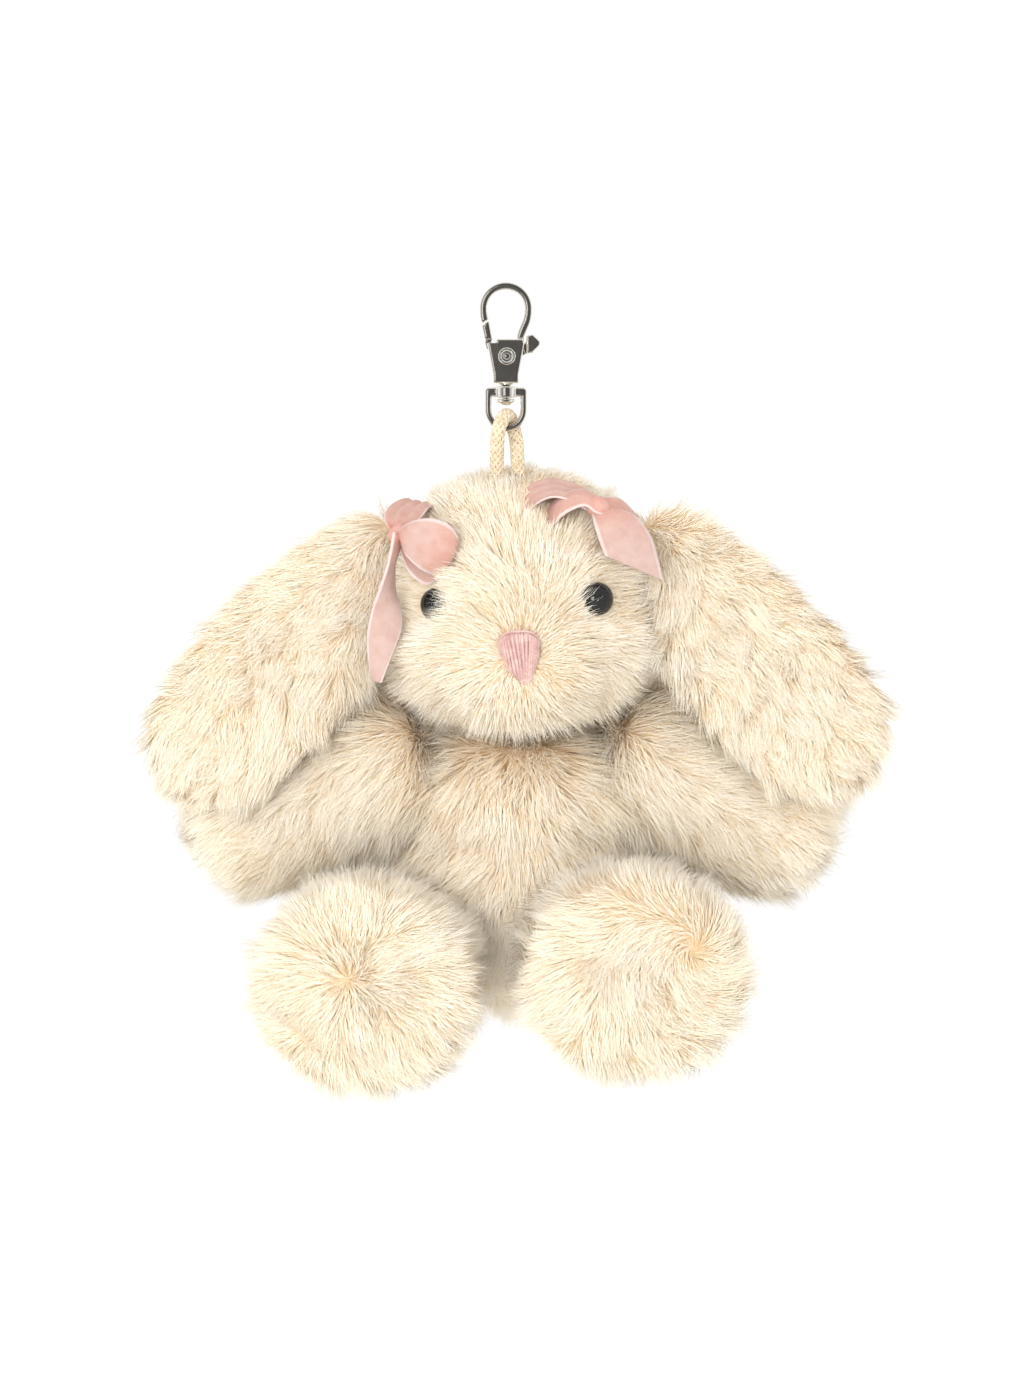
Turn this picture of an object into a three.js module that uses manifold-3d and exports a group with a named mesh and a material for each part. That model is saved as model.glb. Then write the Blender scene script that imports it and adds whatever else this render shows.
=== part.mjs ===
// A plush rabbit that hangs by a cord loop from a swivel trigger snap.
// Millimetres, +Z up, the face towards -Y. The origin is the inner top of the hook, where it hangs.
import * as THREE from "three";
import { mergeVertices } from "three/addons/utils/BufferGeometryUtils.js";
import Module from "manifold-3d";

const wasm = await Module();
wasm.setup();

// Driving dimensions.
const GAP = 0.3; // clear space kept between neighbouring pieces
const SOFT_SIDES = 20; // facets round a stuffed form
const INNER_SIDES = 14; // facets round what is hidden inside one

const HOOK_HALF = 5.5; // outer half width of the hook's bow
const HOOK_BAR = 1.6; // thickness of the hook's bar, seen from the front
const HOOK_DEPTH = 2.6; // the bar, front to back
const HOOK_DROP = 10.2; // from the inner top of the hook to the plate
const PLATE_TOP_HALF = 3.9;
const PLATE_LOW_HALF = 2.7;
const PLATE_LOW_Z = -19.4;
const PLATE_DEPTH = 3.8;
const SLOT = 1.8; // slot between the plate's cheeks, where the trigger turns
const PIVOT = { x: 0.2, z: -13.8 };
const PIN_R = 0.75;
const GATE_LOW_Z = -10.6; // foot of the gate
const NOSE_R = 8.5; // the nose's end is an arc about the pivot, so the gate can swing past it

const RING_HALF = 4.4;
const RING_TOP_Z = -20.1;
const RING_LOW_Z = -29.5;
const RING_BAR = 1.4;
const RING_DEPTH = 2.0;
const EYE_BOSS_R = 2.2; // boss in the ring's top bar that turns on the stud
const EYE_BOSS_H = 2.3;
const STUD_R = 0.9;

const CORD_R = 1.5;
const CORD_SIDES = 8;

const PLUSH_X = 2.6; // the toy's middle plane, a little to one side of the hook
const SKIN = 1.6; // fur backing with the dense root of the pile
const EYE_R = 3.5;

const COLOURS = {
  nickel: { color: 0x9a9894, roughness: 0.16, metalness: 1 },
  fur: { color: 0xf3e3c9, roughness: 0.95, metalness: 0 },
  filling: { color: 0xf7f5f0, roughness: 1, metalness: 0 },
  cord: { color: 0xe8d7b9, roughness: 0.9, metalness: 0 },
  velvet: { color: 0xecc4b8, roughness: 0.8, metalness: 0 },
  bead: { color: 0x0b0b0c, roughness: 0.08, metalness: 0 },
  washer: { color: 0xe9e9e6, roughness: 0.45, metalness: 0 },
  thread: { color: 0xe3b5b5, roughness: 0.7, metalness: 0 },
};

const part = new THREE.Group();
part.name = "plush_keychain";

// ---- solids and placing ----

function solid(geometry) {
  const bare = geometry.index ? geometry.toNonIndexed() : geometry.clone();
  bare.deleteAttribute("normal");
  bare.deleteAttribute("uv");
  const merged = mergeVertices(bare, 1e-4);
  return new wasm.Manifold(
    new wasm.Mesh({
      numProp: 3,
      vertProperties: merged.attributes.position.array,
      triVerts: new Uint32Array(merged.index.array),
    }),
  );
}

function geometryOf(manifold) {
  const mesh = manifold.getMesh();
  const geometry = new THREE.BufferGeometry();
  geometry.setAttribute("position", new THREE.BufferAttribute(mesh.vertProperties, 3));
  geometry.setIndex(new THREE.BufferAttribute(mesh.triVerts, 1));
  const flat = geometry.toNonIndexed();
  flat.computeVertexNormals();
  return flat;
}

function add(name, shape, look) {
  const geometry = shape.isBufferGeometry ? shape : geometryOf(shape);
  const mesh = new THREE.Mesh(geometry, new THREE.MeshStandardMaterial(COLOURS[look]));
  mesh.name = name;
  part.add(mesh);
}

function union(shapes) {
  return shapes.reduce((whole, shape) => whole.add(shape));
}

function cut(shape, tools) {
  return tools.reduce((left, tool) => left.subtract(tool), shape);
}

// An ellipsoid as a solid: centre, radii, and the amount its surface is moved outwards.
function ellipsoid([x, y, z], [rx, ry, rz], grow = 0, sides = SOFT_SIDES) {
  const ball = new THREE.SphereGeometry(1, sides, Math.round(sides * 0.6));
  ball.rotateX(Math.PI / 2);
  ball.scale(rx + grow, ry + grow, rz + grow);
  ball.translate(x, y, z);
  return solid(ball);
}

function blob(lumps, grow = 0, sides = SOFT_SIDES) {
  return union(lumps.map(([centre, radii]) => ellipsoid(centre, radii, grow, sides)));
}

// A round form along a line: its radii are given at shares of its length, and its ends close in
// a round nose. flat narrows it across its own thickness direction.
function limb({ from, to, radii, flat = 1, thin = [0, 1, 0], sides = SOFT_SIDES, grow = 0 }) {
  const start = new THREE.Vector3(...from);
  const end = new THREE.Vector3(...to);
  const along = end.clone().sub(start);
  const length = along.length();
  const curve = new THREE.SplineCurve(radii.map(([share, r]) => new THREE.Vector2(r, share * length)));
  const profile = curve.getPoints(14).map((p) => new THREE.Vector2(Math.max(p.x, 0) + grow, p.y));
  profile[0].set(0, -grow);
  profile[profile.length - 1].set(0, length + grow);
  const body = new THREE.LatheGeometry(profile, sides);
  const up = along.clone().normalize();
  const across = new THREE.Vector3(...thin);
  across.addScaledVector(up, -across.dot(up)).normalize();
  const side = new THREE.Vector3().crossVectors(up, across);
  body.scale(1, 1, flat);
  body.applyMatrix4(new THREE.Matrix4().makeBasis(side, up, across));
  body.translate(...from);
  return solid(body);
}

function box(x0, x1, y0, y1, z0, z1) {
  const block = new THREE.BoxGeometry(x1 - x0, y1 - y0, z1 - z0);
  block.translate((x0 + x1) / 2, (y0 + y1) / 2, (z0 + z1) / 2);
  return solid(block);
}

function rod(radius, from, to, sides = 24) {
  const start = new THREE.Vector3(...from);
  const end = new THREE.Vector3(...to);
  const along = end.clone().sub(start);
  const bar = new THREE.CylinderGeometry(radius, radius, along.length(), sides);
  const turn = new THREE.Quaternion().setFromUnitVectors(
    new THREE.Vector3(0, 1, 0),
    along.clone().normalize(),
  );
  bar.applyQuaternion(turn);
  bar.translate(...start.add(end).multiplyScalar(0.5));
  return solid(bar);
}

// An outline drawn in X and Z, given a depth along Y about the middle plane.
function plate(outline, depth, bevel = 0.25, middleY = 0) {
  const body = new THREE.ExtrudeGeometry(outline, {
    depth: depth - 2 * bevel,
    bevelEnabled: bevel > 0,
    bevelThickness: bevel,
    bevelSize: bevel,
    bevelOffset: -bevel,
    bevelSegments: 2,
    curveSegments: 10,
  });
  body.translate(0, 0, bevel - depth / 2);
  body.rotateX(Math.PI / 2);
  body.translate(0, middleY, 0);
  return solid(body);
}

// ---- the trigger snap ----

// Half width of the hook's bow at a height: a round top that narrows towards the plate.
function teardrop(half, top, low, lowHalf) {
  const shape = new THREE.Shape();
  const middle = top - half;
  shape.moveTo(half, middle);
  shape.absarc(0, middle, half, 0, Math.PI, false);
  shape.bezierCurveTo(-half, middle - half * 0.7, -lowHalf - 0.6, low + 3, -lowHalf, low);
  shape.lineTo(lowHalf, low);
  shape.bezierCurveTo(lowHalf + 0.6, low + 3, half, middle - half * 0.7, half, middle);
  return shape;
}

function hookBody() {
  const bow = teardrop(HOOK_HALF, HOOK_BAR, -HOOK_DROP - 1, PLATE_TOP_HALF - 0.4);
  const eye = teardrop(HOOK_HALF - HOOK_BAR, 0, -HOOK_DROP, PLATE_TOP_HALF - HOOK_BAR - 0.2);
  bow.holes.push(new THREE.Path(eye.getPoints(12)));
  const wedge = new THREE.Shape();
  wedge.moveTo(-PLATE_TOP_HALF + 0.3, -HOOK_DROP);
  wedge.lineTo(PLATE_TOP_HALF - 0.3, -HOOK_DROP);
  wedge.lineTo(PLATE_TOP_HALF, -HOOK_DROP - 1);
  wedge.lineTo(PLATE_LOW_HALF, PLATE_LOW_Z + 1.8);
  wedge.lineTo(PLATE_LOW_HALF, PLATE_LOW_Z);
  wedge.lineTo(-PLATE_LOW_HALF, PLATE_LOW_Z);
  wedge.lineTo(-PLATE_LOW_HALF, PLATE_LOW_Z + 1.8);
  wedge.lineTo(-PLATE_TOP_HALF, -HOOK_DROP - 1);
  const bossZ = PLATE_LOW_Z - 0.35;
  const stud = union([
    plate(wedge, PLATE_DEPTH, 0.35),
    rod(1.5, [0, 0, PLATE_LOW_Z + 0.5], [0, 0, bossZ]),
    rod(STUD_R, [0, 0, PLATE_LOW_Z + 1], [0, 0, RING_TOP_Z - EYE_BOSS_H - GAP - 0.4]),
  ]);
  const slotTop = -HOOK_DROP + 1;
  const slotLow = PLATE_LOW_Z + 3.2;
  const half = SLOT / 2;
  return cut(union([plate(bow, HOOK_DEPTH, 0.45), stud]), [
    box(-9, 9, -half, half, slotLow, slotTop),
    gateSweep(NOSE_R).intersect(box(-9, -1.9, -4, 4, GATE_LOW_Z - 0.4, 0)),
    rod(PIN_R + 0.12, [PIVOT.x, -4, PIVOT.z], [PIVOT.x, 4, PIVOT.z]),
    rod(0.95, [1.4, 0, slotLow - 1.6], [1.4, 0, slotLow + 0.5], 16),
  ]);
}

function gateSweep(radius) {
  return rod(radius, [PIVOT.x, -4, PIVOT.z], [PIVOT.x, 4, PIVOT.z], 64);
}

// The gate, its hub and the knurled thumb lever are one rocker.
function trigger() {
  const half = SLOT / 2 - GAP;
  const arm = new THREE.Shape();
  arm.moveTo(-4.7, GATE_LOW_Z + 1.2);
  arm.lineTo(-3.3, GATE_LOW_Z + 1.2);
  arm.lineTo(-3.0, GATE_LOW_Z - 0.5);
  arm.lineTo(PIVOT.x, PIVOT.z + 1.9);
  arm.lineTo(5.2, -10.8);
  arm.lineTo(5.2, -12.6);
  arm.lineTo(PIVOT.x + 1.2, PIVOT.z - 1.5);
  arm.lineTo(PIVOT.x - 1.3, PIVOT.z - 1.5);
  arm.lineTo(-4.1, -12.2);
  const gate = new THREE.Shape();
  gate.moveTo(-5.5, PIVOT.z + NOSE_R);
  gate.lineTo(-3.7, PIVOT.z + NOSE_R);
  gate.lineTo(-2.8, GATE_LOW_Z + 0.2);
  gate.lineTo(-4.4, GATE_LOW_Z + 0.2);
  const thumb = new THREE.Shape();
  thumb.moveTo(4.25, -9.6);
  thumb.lineTo(5.6, -9.2);
  thumb.lineTo(7.2, -10.7);
  thumb.lineTo(7.1, -11.6);
  thumb.lineTo(5.6, -13.1);
  thumb.lineTo(4.25, -13.3);
  const grooves = [0, 1, 2, 3].map((i) =>
    rod(0.22, [5.75 + i * 0.42, -3, -9.15 - i * 0.4], [5.75 + i * 0.42, 3, -9.15 - i * 0.4], 8),
  );
  const rocker = union([
    plate(arm, 2 * half, 0.1),
    plate(gate, HOOK_DEPTH, 0.3).intersect(gateSweep(NOSE_R - GAP)),
    plate(thumb, PLATE_DEPTH - 0.4, 0.3),
  ]);
  return cut(rocker, [
    ...grooves,
    rod(PIN_R + 0.12, [PIVOT.x, -4, PIVOT.z], [PIVOT.x, 4, PIVOT.z]),
  ]);
}

function rivet() {
  const face = PLATE_DEPTH / 2 + GAP;
  const profile = [
    new THREE.Vector2(0, -face - 0.3),
    new THREE.Vector2(0.55, -face - 0.26),
    new THREE.Vector2(0.8, -face - 0.02),
    new THREE.Vector2(1.1, -face - 0.02),
    new THREE.Vector2(1.4, -face - 0.36),
    new THREE.Vector2(1.7, -face - 0.32),
    new THREE.Vector2(1.9, -face - 0.06),
    new THREE.Vector2(1.9, -face + 0.12),
    new THREE.Vector2(PIN_R, -face + 0.12),
    new THREE.Vector2(PIN_R, face - 0.12),
    new THREE.Vector2(1.3, face - 0.12),
    new THREE.Vector2(1.2, face + 0.2),
    new THREE.Vector2(0, face + 0.4),
  ];
  const pin = new THREE.LatheGeometry(profile, 24);
  pin.translate(PIVOT.x, 0, 0);
  pin.translate(0, 0, PIVOT.z);
  return solid(pin);
}

class Helix extends THREE.Curve {
  constructor(radius, pitch, turns, centre) {
    super();
    Object.assign(this, { radius, pitch, turns, centre });
  }
  getPoint(t, target = new THREE.Vector3()) {
    const angle = t * this.turns * 2 * Math.PI;
    return target.set(
      this.centre[0] + this.radius * Math.cos(angle),
      this.centre[1] + this.radius * Math.sin(angle),
      this.centre[2] + this.pitch * this.turns * t,
    );
  }
}

function tube(curve, radius, steps, sides = CORD_SIDES) {
  const section = new THREE.Shape();
  for (let i = 0; i < sides; i++) {
    const angle = (2 * Math.PI * i) / sides;
    section[i ? "lineTo" : "moveTo"](radius * Math.cos(angle), radius * Math.sin(angle));
  }
  return new THREE.ExtrudeGeometry(section, {
    extrudePath: curve,
    steps,
    bevelEnabled: false,
    curveSegments: 1,
  });
}

add("hook_body", hookBody(), "nickel");
add("trigger_lever", trigger(), "nickel");
add("trigger_rivet", rivet(), "nickel");
add(
  "trigger_spring",
  tube(new Helix(0.55, 0.42, 4, [1.4, 0, PLATE_LOW_Z + 2.0]), 0.13, 40, 6),
  "nickel",
);

const headZ = RING_TOP_Z - EYE_BOSS_H - GAP;
const studHead = new THREE.LatheGeometry(
  [
    new THREE.Vector2(0, headZ - 1.35),
    new THREE.Vector2(0.9, headZ - 1.25),
    new THREE.Vector2(1.75, headZ - 0.7),
    new THREE.Vector2(1.9, headZ - 0.2),
    new THREE.Vector2(1.9, headZ),
    new THREE.Vector2(STUD_R + 0.3, headZ),
    new THREE.Vector2(STUD_R + 0.3, headZ - 0.6),
    new THREE.Vector2(0, headZ - 0.6),
  ],
  24,
);
studHead.rotateX(Math.PI / 2);
add("stud_head", solid(studHead), "nickel");

function swivelRing() {
  const low = RING_LOW_Z;
  const top = RING_TOP_Z - 0.2;
  const outline = new THREE.Shape();
  outline.moveTo(-RING_HALF + 0.5, top);
  outline.lineTo(-RING_HALF, top - 0.5);
  outline.lineTo(-RING_HALF, low + RING_HALF);
  outline.absarc(0, low + RING_HALF, RING_HALF, Math.PI, 2 * Math.PI, false);
  outline.lineTo(RING_HALF, top - 0.5);
  outline.lineTo(RING_HALF - 0.5, top);
  const inner = RING_HALF - RING_BAR;
  const eye = new THREE.Path();
  eye.moveTo(-inner, RING_TOP_Z - EYE_BOSS_H + 0.2);
  eye.lineTo(-inner, low + RING_HALF);
  eye.absarc(0, low + RING_HALF, inner, Math.PI, 2 * Math.PI, false);
  eye.lineTo(inner, RING_TOP_Z - EYE_BOSS_H + 0.2);
  outline.holes.push(eye);
  const boss = rod(EYE_BOSS_R, [0, 0, RING_TOP_Z], [0, 0, RING_TOP_Z - EYE_BOSS_H]);
  const bore = rod(STUD_R + 0.15, [0, 0, RING_TOP_Z + 2], [0, 0, RING_TOP_Z - 6]);
  return cut(union([plate(outline, RING_DEPTH, 0.45), boss]), [bore]);
}

add("swivel_ring", swivelRing(), "nickel");

// ---- the cord loop, its knot inside the head ----

const CORD_ROUTE = [
  [-1.9, 0.0, -47],
  [-1.9, -0.9, -38],
  [-1.8, -2.4, -32],
  [-1.5, -2.95, -29],
  [-0.8, -2.2, -27],
  [0.1, 0.0, -26.1],
  [1.0, 2.2, -27],
  [1.6, 2.95, -29],
  [2.2, 2.4, -32],
  [2.5, 0.9, -38],
  [2.5, 0.0, -47],
];
const cordCurve = new THREE.CatmullRomCurve3(CORD_ROUTE.map((p) => new THREE.Vector3(...p)));
const cordLoop = solid(tube(cordCurve, CORD_R, 40));
add("cord_loop", cordLoop, "cord");

const KNOT_Z = -49;
const knot = ellipsoid([0.3, 0, KNOT_Z], [5, 3.6, 3.4], 0, 14);
const knotClear = ellipsoid([0.3, 0, KNOT_Z], [5, 3.6, 3.4], GAP, 14);
const cordTrench = cut(knot, [solid(tube(cordCurve, CORD_R + GAP, 40))]);
add("cord_knot", cordTrench, "cord");

// ---- the head ----

const HEAD_LUMPS = [
  [[PLUSH_X, 5, -63], [26, 23, 25]],
  [[PLUSH_X, 3, -71.5], [27.5, 22, 19]],
  [[PLUSH_X, -11, -76], [14.5, 12, 12.5]],
];
const EYES = { left: [-15.6, -13.6, -64.8], right: [19.4, -14.6, -63.8] };
const SHANK = 10;
const WASHER_DEPTH = 8.4;

function eyeAim(side) {
  const [x, , z] = EYES[side];
  return new THREE.Vector3((x - PLUSH_X) * 0.045, -1, (z + 66) * 0.02).normalize();
}

// A domed bead on a ribbed shank; the shank runs inwards, away from its aim.
function eyeBead(side, grow = 0) {
  const aim = eyeAim(side);
  const r = EYE_R + grow;
  const profile = [new THREE.Vector2(0, -SHANK - grow), new THREE.Vector2(1.1 + grow, -SHANK - grow)];
  profile.push(new THREE.Vector2(1.1 + grow, -1.2 - grow), new THREE.Vector2(r * 0.9, -1.2 - grow));
  for (let i = 0; i <= 6; i++) {
    const angle = (i / 6) * (Math.PI / 2);
    profile.push(new THREE.Vector2(r * Math.cos(angle), 0.85 * r * Math.sin(angle)));
  }
  profile[profile.length - 1].x = 0;
  const bead = new THREE.LatheGeometry(profile, 20);
  bead.applyQuaternion(
    new THREE.Quaternion().setFromUnitVectors(new THREE.Vector3(0, 1, 0), aim),
  );
  bead.translate(...EYES[side]);
  return solid(bead);
}

// A washer pushed on the shank behind the fabric.
function eyeWasher(side, grow = 0) {
  const profile = [
    new THREE.Vector2(1.25 - grow, -WASHER_DEPTH - 0.5 - grow),
    new THREE.Vector2(4 + grow, -WASHER_DEPTH - 0.5 - grow),
    new THREE.Vector2(4 + grow, -WASHER_DEPTH + 0.5 + grow),
    new THREE.Vector2(1.25 - grow, -WASHER_DEPTH + 0.5 + grow),
    new THREE.Vector2(1.25 - grow, -WASHER_DEPTH - 0.5 - grow),
  ];
  const washer = new THREE.LatheGeometry(profile, 20);
  washer.applyQuaternion(
    new THREE.Quaternion().setFromUnitVectors(new THREE.Vector3(0, 1, 0), eyeAim(side)),
  );
  washer.translate(...EYES[side]);
  return solid(washer);
}

const cordRoom = solid(tube(cordCurve, CORD_R + GAP, 40));
const eyeRoom = Object.keys(EYES).map((side) => eyeBead(side, GAP));
const washerRoom = Object.keys(EYES).map((side) => eyeWasher(side, GAP));
const NECK = [PLUSH_X, 9, -90.4];
const neckHole = rod(8, [NECK[0], NECK[1], -78], [NECK[0], NECK[1], -104]);

function nosePad(grow = 0) {
  const shape = new THREE.Shape();
  shape.moveTo(-5 - grow, 5 + grow);
  shape.quadraticCurveTo(0, 6.4 + grow, 5 + grow, 5 + grow);
  shape.quadraticCurveTo(4.4 + grow, -1, 0.8 + grow, -5.4 - grow);
  shape.lineTo(-0.8 - grow, -5.4 - grow);
  shape.quadraticCurveTo(-4.4 - grow, -1, -5 - grow, 5 + grow);
  const pad = plate(shape, 2.2 + 2 * grow, 0.5);
  return pad.rotate([-12, 0, 0]).translate([PLUSH_X + 0.1, -22.6, -75.2]);
}

const headSolid = cut(blob(HEAD_LUMPS), [cordRoom, ...eyeRoom, nosePad(GAP)]);
add("head_skin", cut(headSolid, [blob(HEAD_LUMPS, -SKIN, INNER_SIDES + 2), neckHole]), "fur");
const headStuffing = cut(blob(HEAD_LUMPS, -SKIN - 2 * GAP, INNER_SIDES), [
  knotClear,
  cordRoom,
  ...eyeRoom,
  ...washerRoom,
  nosePad(GAP),
]);
add("head_filling", headStuffing, "filling");
for (const side of Object.keys(EYES)) {
  add(`${side}_eye`, eyeBead(side), "bead");
  add(`${side}_eye_washer`, eyeWasher(side), "washer");
}
add("nose_stitching", nosePad(), "thread");

// ---- the limbs ----

// Each limb turns about its joint; turning is in degrees about one axis.
const HIP = { y: 3, z: -139 };
const HIP_RANGE = [-15, 20];
const SHOULDER = { x: 19, z: -99 };
const SHOULDER_RANGE = [-10, 15];
const EAR_ROOT = { x: 25, z: -49 };
const EAR_LIFT = 35;

function turned(shape, [x, y, z], axis, degrees) {
  return shape
    .translate([-x, -y, -z])
    .rotate([axis === "x" ? degrees : 0, axis === "y" ? degrees : 0, 0])
    .translate([x, y, z]);
}

const LEGS = { left: { x: -30.3, z: -144 }, right: { x: 27.4, z: -141.4 } };
const ARMS = {
  left: { from: [-16.5, 14, -97.5], to: [-64, 13, -115.5] },
  right: { from: [21.5, 14, -97.5], to: [66.5, 13, -115.5] },
};
const EARS = {
  left: { from: [-21.5, 3, -49.5], to: [-68.8, -14, -102.5] },
  right: { from: [27, 3, -49], to: [73.3, -14, -100.5] },
};
const SIDES = ["left", "right"];
const OUTWARD = { left: -1, right: 1 };

function leg(side, grow = 0, sides = SOFT_SIDES) {
  const { x, z } = LEGS[side];
  const radii = [[0, 0], [0.02, 8.5], [0.16, 16], [0.42, 20], [0.72, 21.4], [0.93, 17.6], [1, 0]];
  const line = { from: [x * 0.84 + 0.4, 11, z + 4], to: [x, -36, z] };
  return limb({ ...line, radii, flat: 0.91, thin: [0, 0, 1], grow, sides });
}

function arm(side, grow = 0, sides = SOFT_SIDES) {
  const radii = [[0, 0], [0.03, 12.5], [0.2, 15.5], [0.66, 16], [0.92, 12.5], [1, 0]];
  return limb({ ...ARMS[side], radii, grow, sides });
}

// The ear is a flat lobe that hangs beside the head; its root is hollowed to clear the head.
function ear(side) {
  const radii = [[0, 0], [0.05, 8], [0.3, 13.5], [0.62, 15.8], [0.9, 12], [1, 0]];
  const lobe = limb({ ...EARS[side], flat: 0.34, radii });
  const root = earRoot(side);
  const lifts = [0, 12, 24, EAR_LIFT].map((lift) =>
    turned(blob(HEAD_LUMPS, GAP), root, "y", lift * OUTWARD[side]),
  );
  return cut(lobe, lifts);
}

function earRoot(side) {
  return [PLUSH_X + OUTWARD[side] * EAR_ROOT.x, 0, EAR_ROOT.z];
}

// The room a limb needs in the torso, over its whole range of turning.
function limbRoom(side, grow) {
  const [legLow, legHigh] = HIP_RANGE;
  const [armLow, armHigh] = SHOULDER_RANGE;
  const hip = [0, HIP.y, HIP.z];
  const shoulder = [PLUSH_X + OUTWARD[side] * SHOULDER.x, 0, SHOULDER.z];
  const legRoom = [legLow, 0, legHigh].map((a) => turned(leg(side, grow, 12), hip, "x", -a));
  const armRoom = [armLow, 0, armHigh].map((a) =>
    turned(arm(side, grow, 10), shoulder, "y", -a * OUTWARD[side]),
  );
  return [...legRoom, ...armRoom];
}

for (const side of SIDES) {
  add(`${side}_ear`, ear(side), "fur");
  add(`${side}_arm`, arm(side), "fur");
  add(`${side}_leg`, leg(side), "fur");
}

// ---- the torso, set back between the limbs ----

const TORSO_LUMPS = [
  [[PLUSH_X, 12, -108], [24.5, 18.5, 16.8]],
  [[PLUSH_X, 13, -125], [26.5, 20.5, 26]],
];
const TORSO_GAP = GAP + 0.9; // allows for the flats of the coarser rooms cut for the limbs

function torsoForm(inset, limbGrow, sides = SOFT_SIDES) {
  return cut(blob(TORSO_LUMPS, -inset, sides), SIDES.flatMap((side) => limbRoom(side, limbGrow)));
}

add(
  "torso_skin",
  cut(torsoForm(0, TORSO_GAP), [torsoForm(SKIN, TORSO_GAP + SKIN, INNER_SIDES + 2), neckHole]),
  "fur",
);
add("torso_filling", torsoForm(SKIN + 2 * GAP, TORSO_GAP + SKIN + 2 * GAP, INNER_SIDES), "filling");
add(
  "tail",
  cut(ellipsoid([PLUSH_X, 33, -139], [9, 8, 8.5], 0, 16), [blob(TORSO_LUMPS, GAP)]),
  "fur",
);

// ---- the ribbon bows, each tied in front of an ear's root ----

const RIBBON = 1.2; // the velvet with the air in its folds

function ribbonPiece(points, y, tilt = 0, lean = 0) {
  const shape = new THREE.Shape(points.map(([x, z]) => new THREE.Vector2(x, z)));
  const centre = points.reduce((sum, p) => [sum[0] + p[0], sum[1] + p[1]], [0, 0]);
  const [cx, cz] = centre.map((value) => value / points.length);
  const sheet = plate(shape, RIBBON, 0.2);
  return sheet.translate([-cx, 0, -cz]).rotate([tilt, 0, lean]).translate([cx, y, cz]);
}

const headRoom = blob(HEAD_LUMPS, GAP);
const LEFT_BAND = [[-25, -43.5], [-14.5, -42], [-15.5, -48.5], [-24.5, -50.5]];
const LEFT_LOOP = [[-17, -47.5], [-10, -49], [-9.6, -57], [-15, -60], [-18.5, -56]];
const LEFT_TAIL = [
  [-22.4, -54],
  [-20.6, -58],
  [-22, -68],
  [-27, -81],
  [-28.6, -79.5],
  [-27.6, -66],
  [-24.5, -55.5],
];
const RIGHT_BAND = [[3.4, -41.2], [11, -40.6], [16, -43.6], [15, -47.5], [8, -46]];
const RIGHT_LOOP = [[20.5, -42], [27.5, -41.5], [29, -46.5], [22.4, -48.6]];
const RIGHT_TAIL = [[18.6, -51], [27, -49.5], [31.6, -54], [32.2, -60.5], [24, -58.6]];
const BOWS = {
  left_bow_band: ribbonPiece(LEFT_BAND, -5.5, -20, -12),
  left_bow_knot: ellipsoid([-19.6, -10.6, -51.6], [3.2, 2.4, 3.4], 0, 14),
  left_bow_loop: ribbonPiece(LEFT_LOOP, -17.2, -8, 10),
  left_bow_tail: ribbonPiece(LEFT_TAIL, -14.5),
  right_bow_band: ribbonPiece(RIGHT_BAND, -8.2, -35, 8),
  right_bow_knot: ellipsoid([19.2, -10.4, -46.8], [3.2, 2.4, 3.2], 0, 14),
  right_bow_loop: ribbonPiece(RIGHT_LOOP, -7.6, -15, 0),
  right_bow_tail: ribbonPiece(RIGHT_TAIL, -14.5, 0, 8),
};
for (const [name, piece] of Object.entries(BOWS)) {
  add(name, cut(piece, [headRoom]), "velvet");
}

export default part;
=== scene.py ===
"""A plush rabbit charm on a trigger snap: long pile over stuffed skins, velvet bows, a braided
cord loop, bead eyes, a stitched nose and nickel hardware. Metres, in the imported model's frame."""

import math
import random

import bmesh
import bpy
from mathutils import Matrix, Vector, noise
from mathutils.bvhtree import BVHTree

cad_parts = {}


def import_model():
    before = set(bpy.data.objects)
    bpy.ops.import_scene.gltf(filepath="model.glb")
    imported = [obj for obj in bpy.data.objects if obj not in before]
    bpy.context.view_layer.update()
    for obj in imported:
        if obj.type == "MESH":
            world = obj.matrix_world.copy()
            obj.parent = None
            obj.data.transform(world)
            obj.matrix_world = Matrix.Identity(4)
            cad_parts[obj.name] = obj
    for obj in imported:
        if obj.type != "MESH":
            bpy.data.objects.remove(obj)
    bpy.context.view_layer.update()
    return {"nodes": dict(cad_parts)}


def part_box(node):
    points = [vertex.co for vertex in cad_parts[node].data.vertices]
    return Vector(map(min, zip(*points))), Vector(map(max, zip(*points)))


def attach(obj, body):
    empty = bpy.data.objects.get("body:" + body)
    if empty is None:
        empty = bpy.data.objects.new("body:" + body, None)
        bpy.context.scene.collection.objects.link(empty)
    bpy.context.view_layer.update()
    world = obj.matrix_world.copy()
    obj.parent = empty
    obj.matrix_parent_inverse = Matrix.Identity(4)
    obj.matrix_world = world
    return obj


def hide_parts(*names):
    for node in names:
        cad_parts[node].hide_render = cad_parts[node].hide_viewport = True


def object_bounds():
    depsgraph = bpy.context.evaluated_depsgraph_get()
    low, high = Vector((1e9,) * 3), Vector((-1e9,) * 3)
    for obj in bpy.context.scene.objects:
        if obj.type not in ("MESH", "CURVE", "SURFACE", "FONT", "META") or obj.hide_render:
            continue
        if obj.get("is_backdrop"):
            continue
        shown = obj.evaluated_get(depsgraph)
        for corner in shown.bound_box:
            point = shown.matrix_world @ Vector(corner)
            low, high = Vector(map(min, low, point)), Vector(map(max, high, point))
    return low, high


MM = 0.001
SEED = 7

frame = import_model()
noise.seed_set(SEED)
scene = bpy.context.scene
collection = scene.collection
X = Vector((1, 0, 0))
Z = Vector((0, 0, 1))


# ---------------------------------------------------------------- node trees


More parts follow.
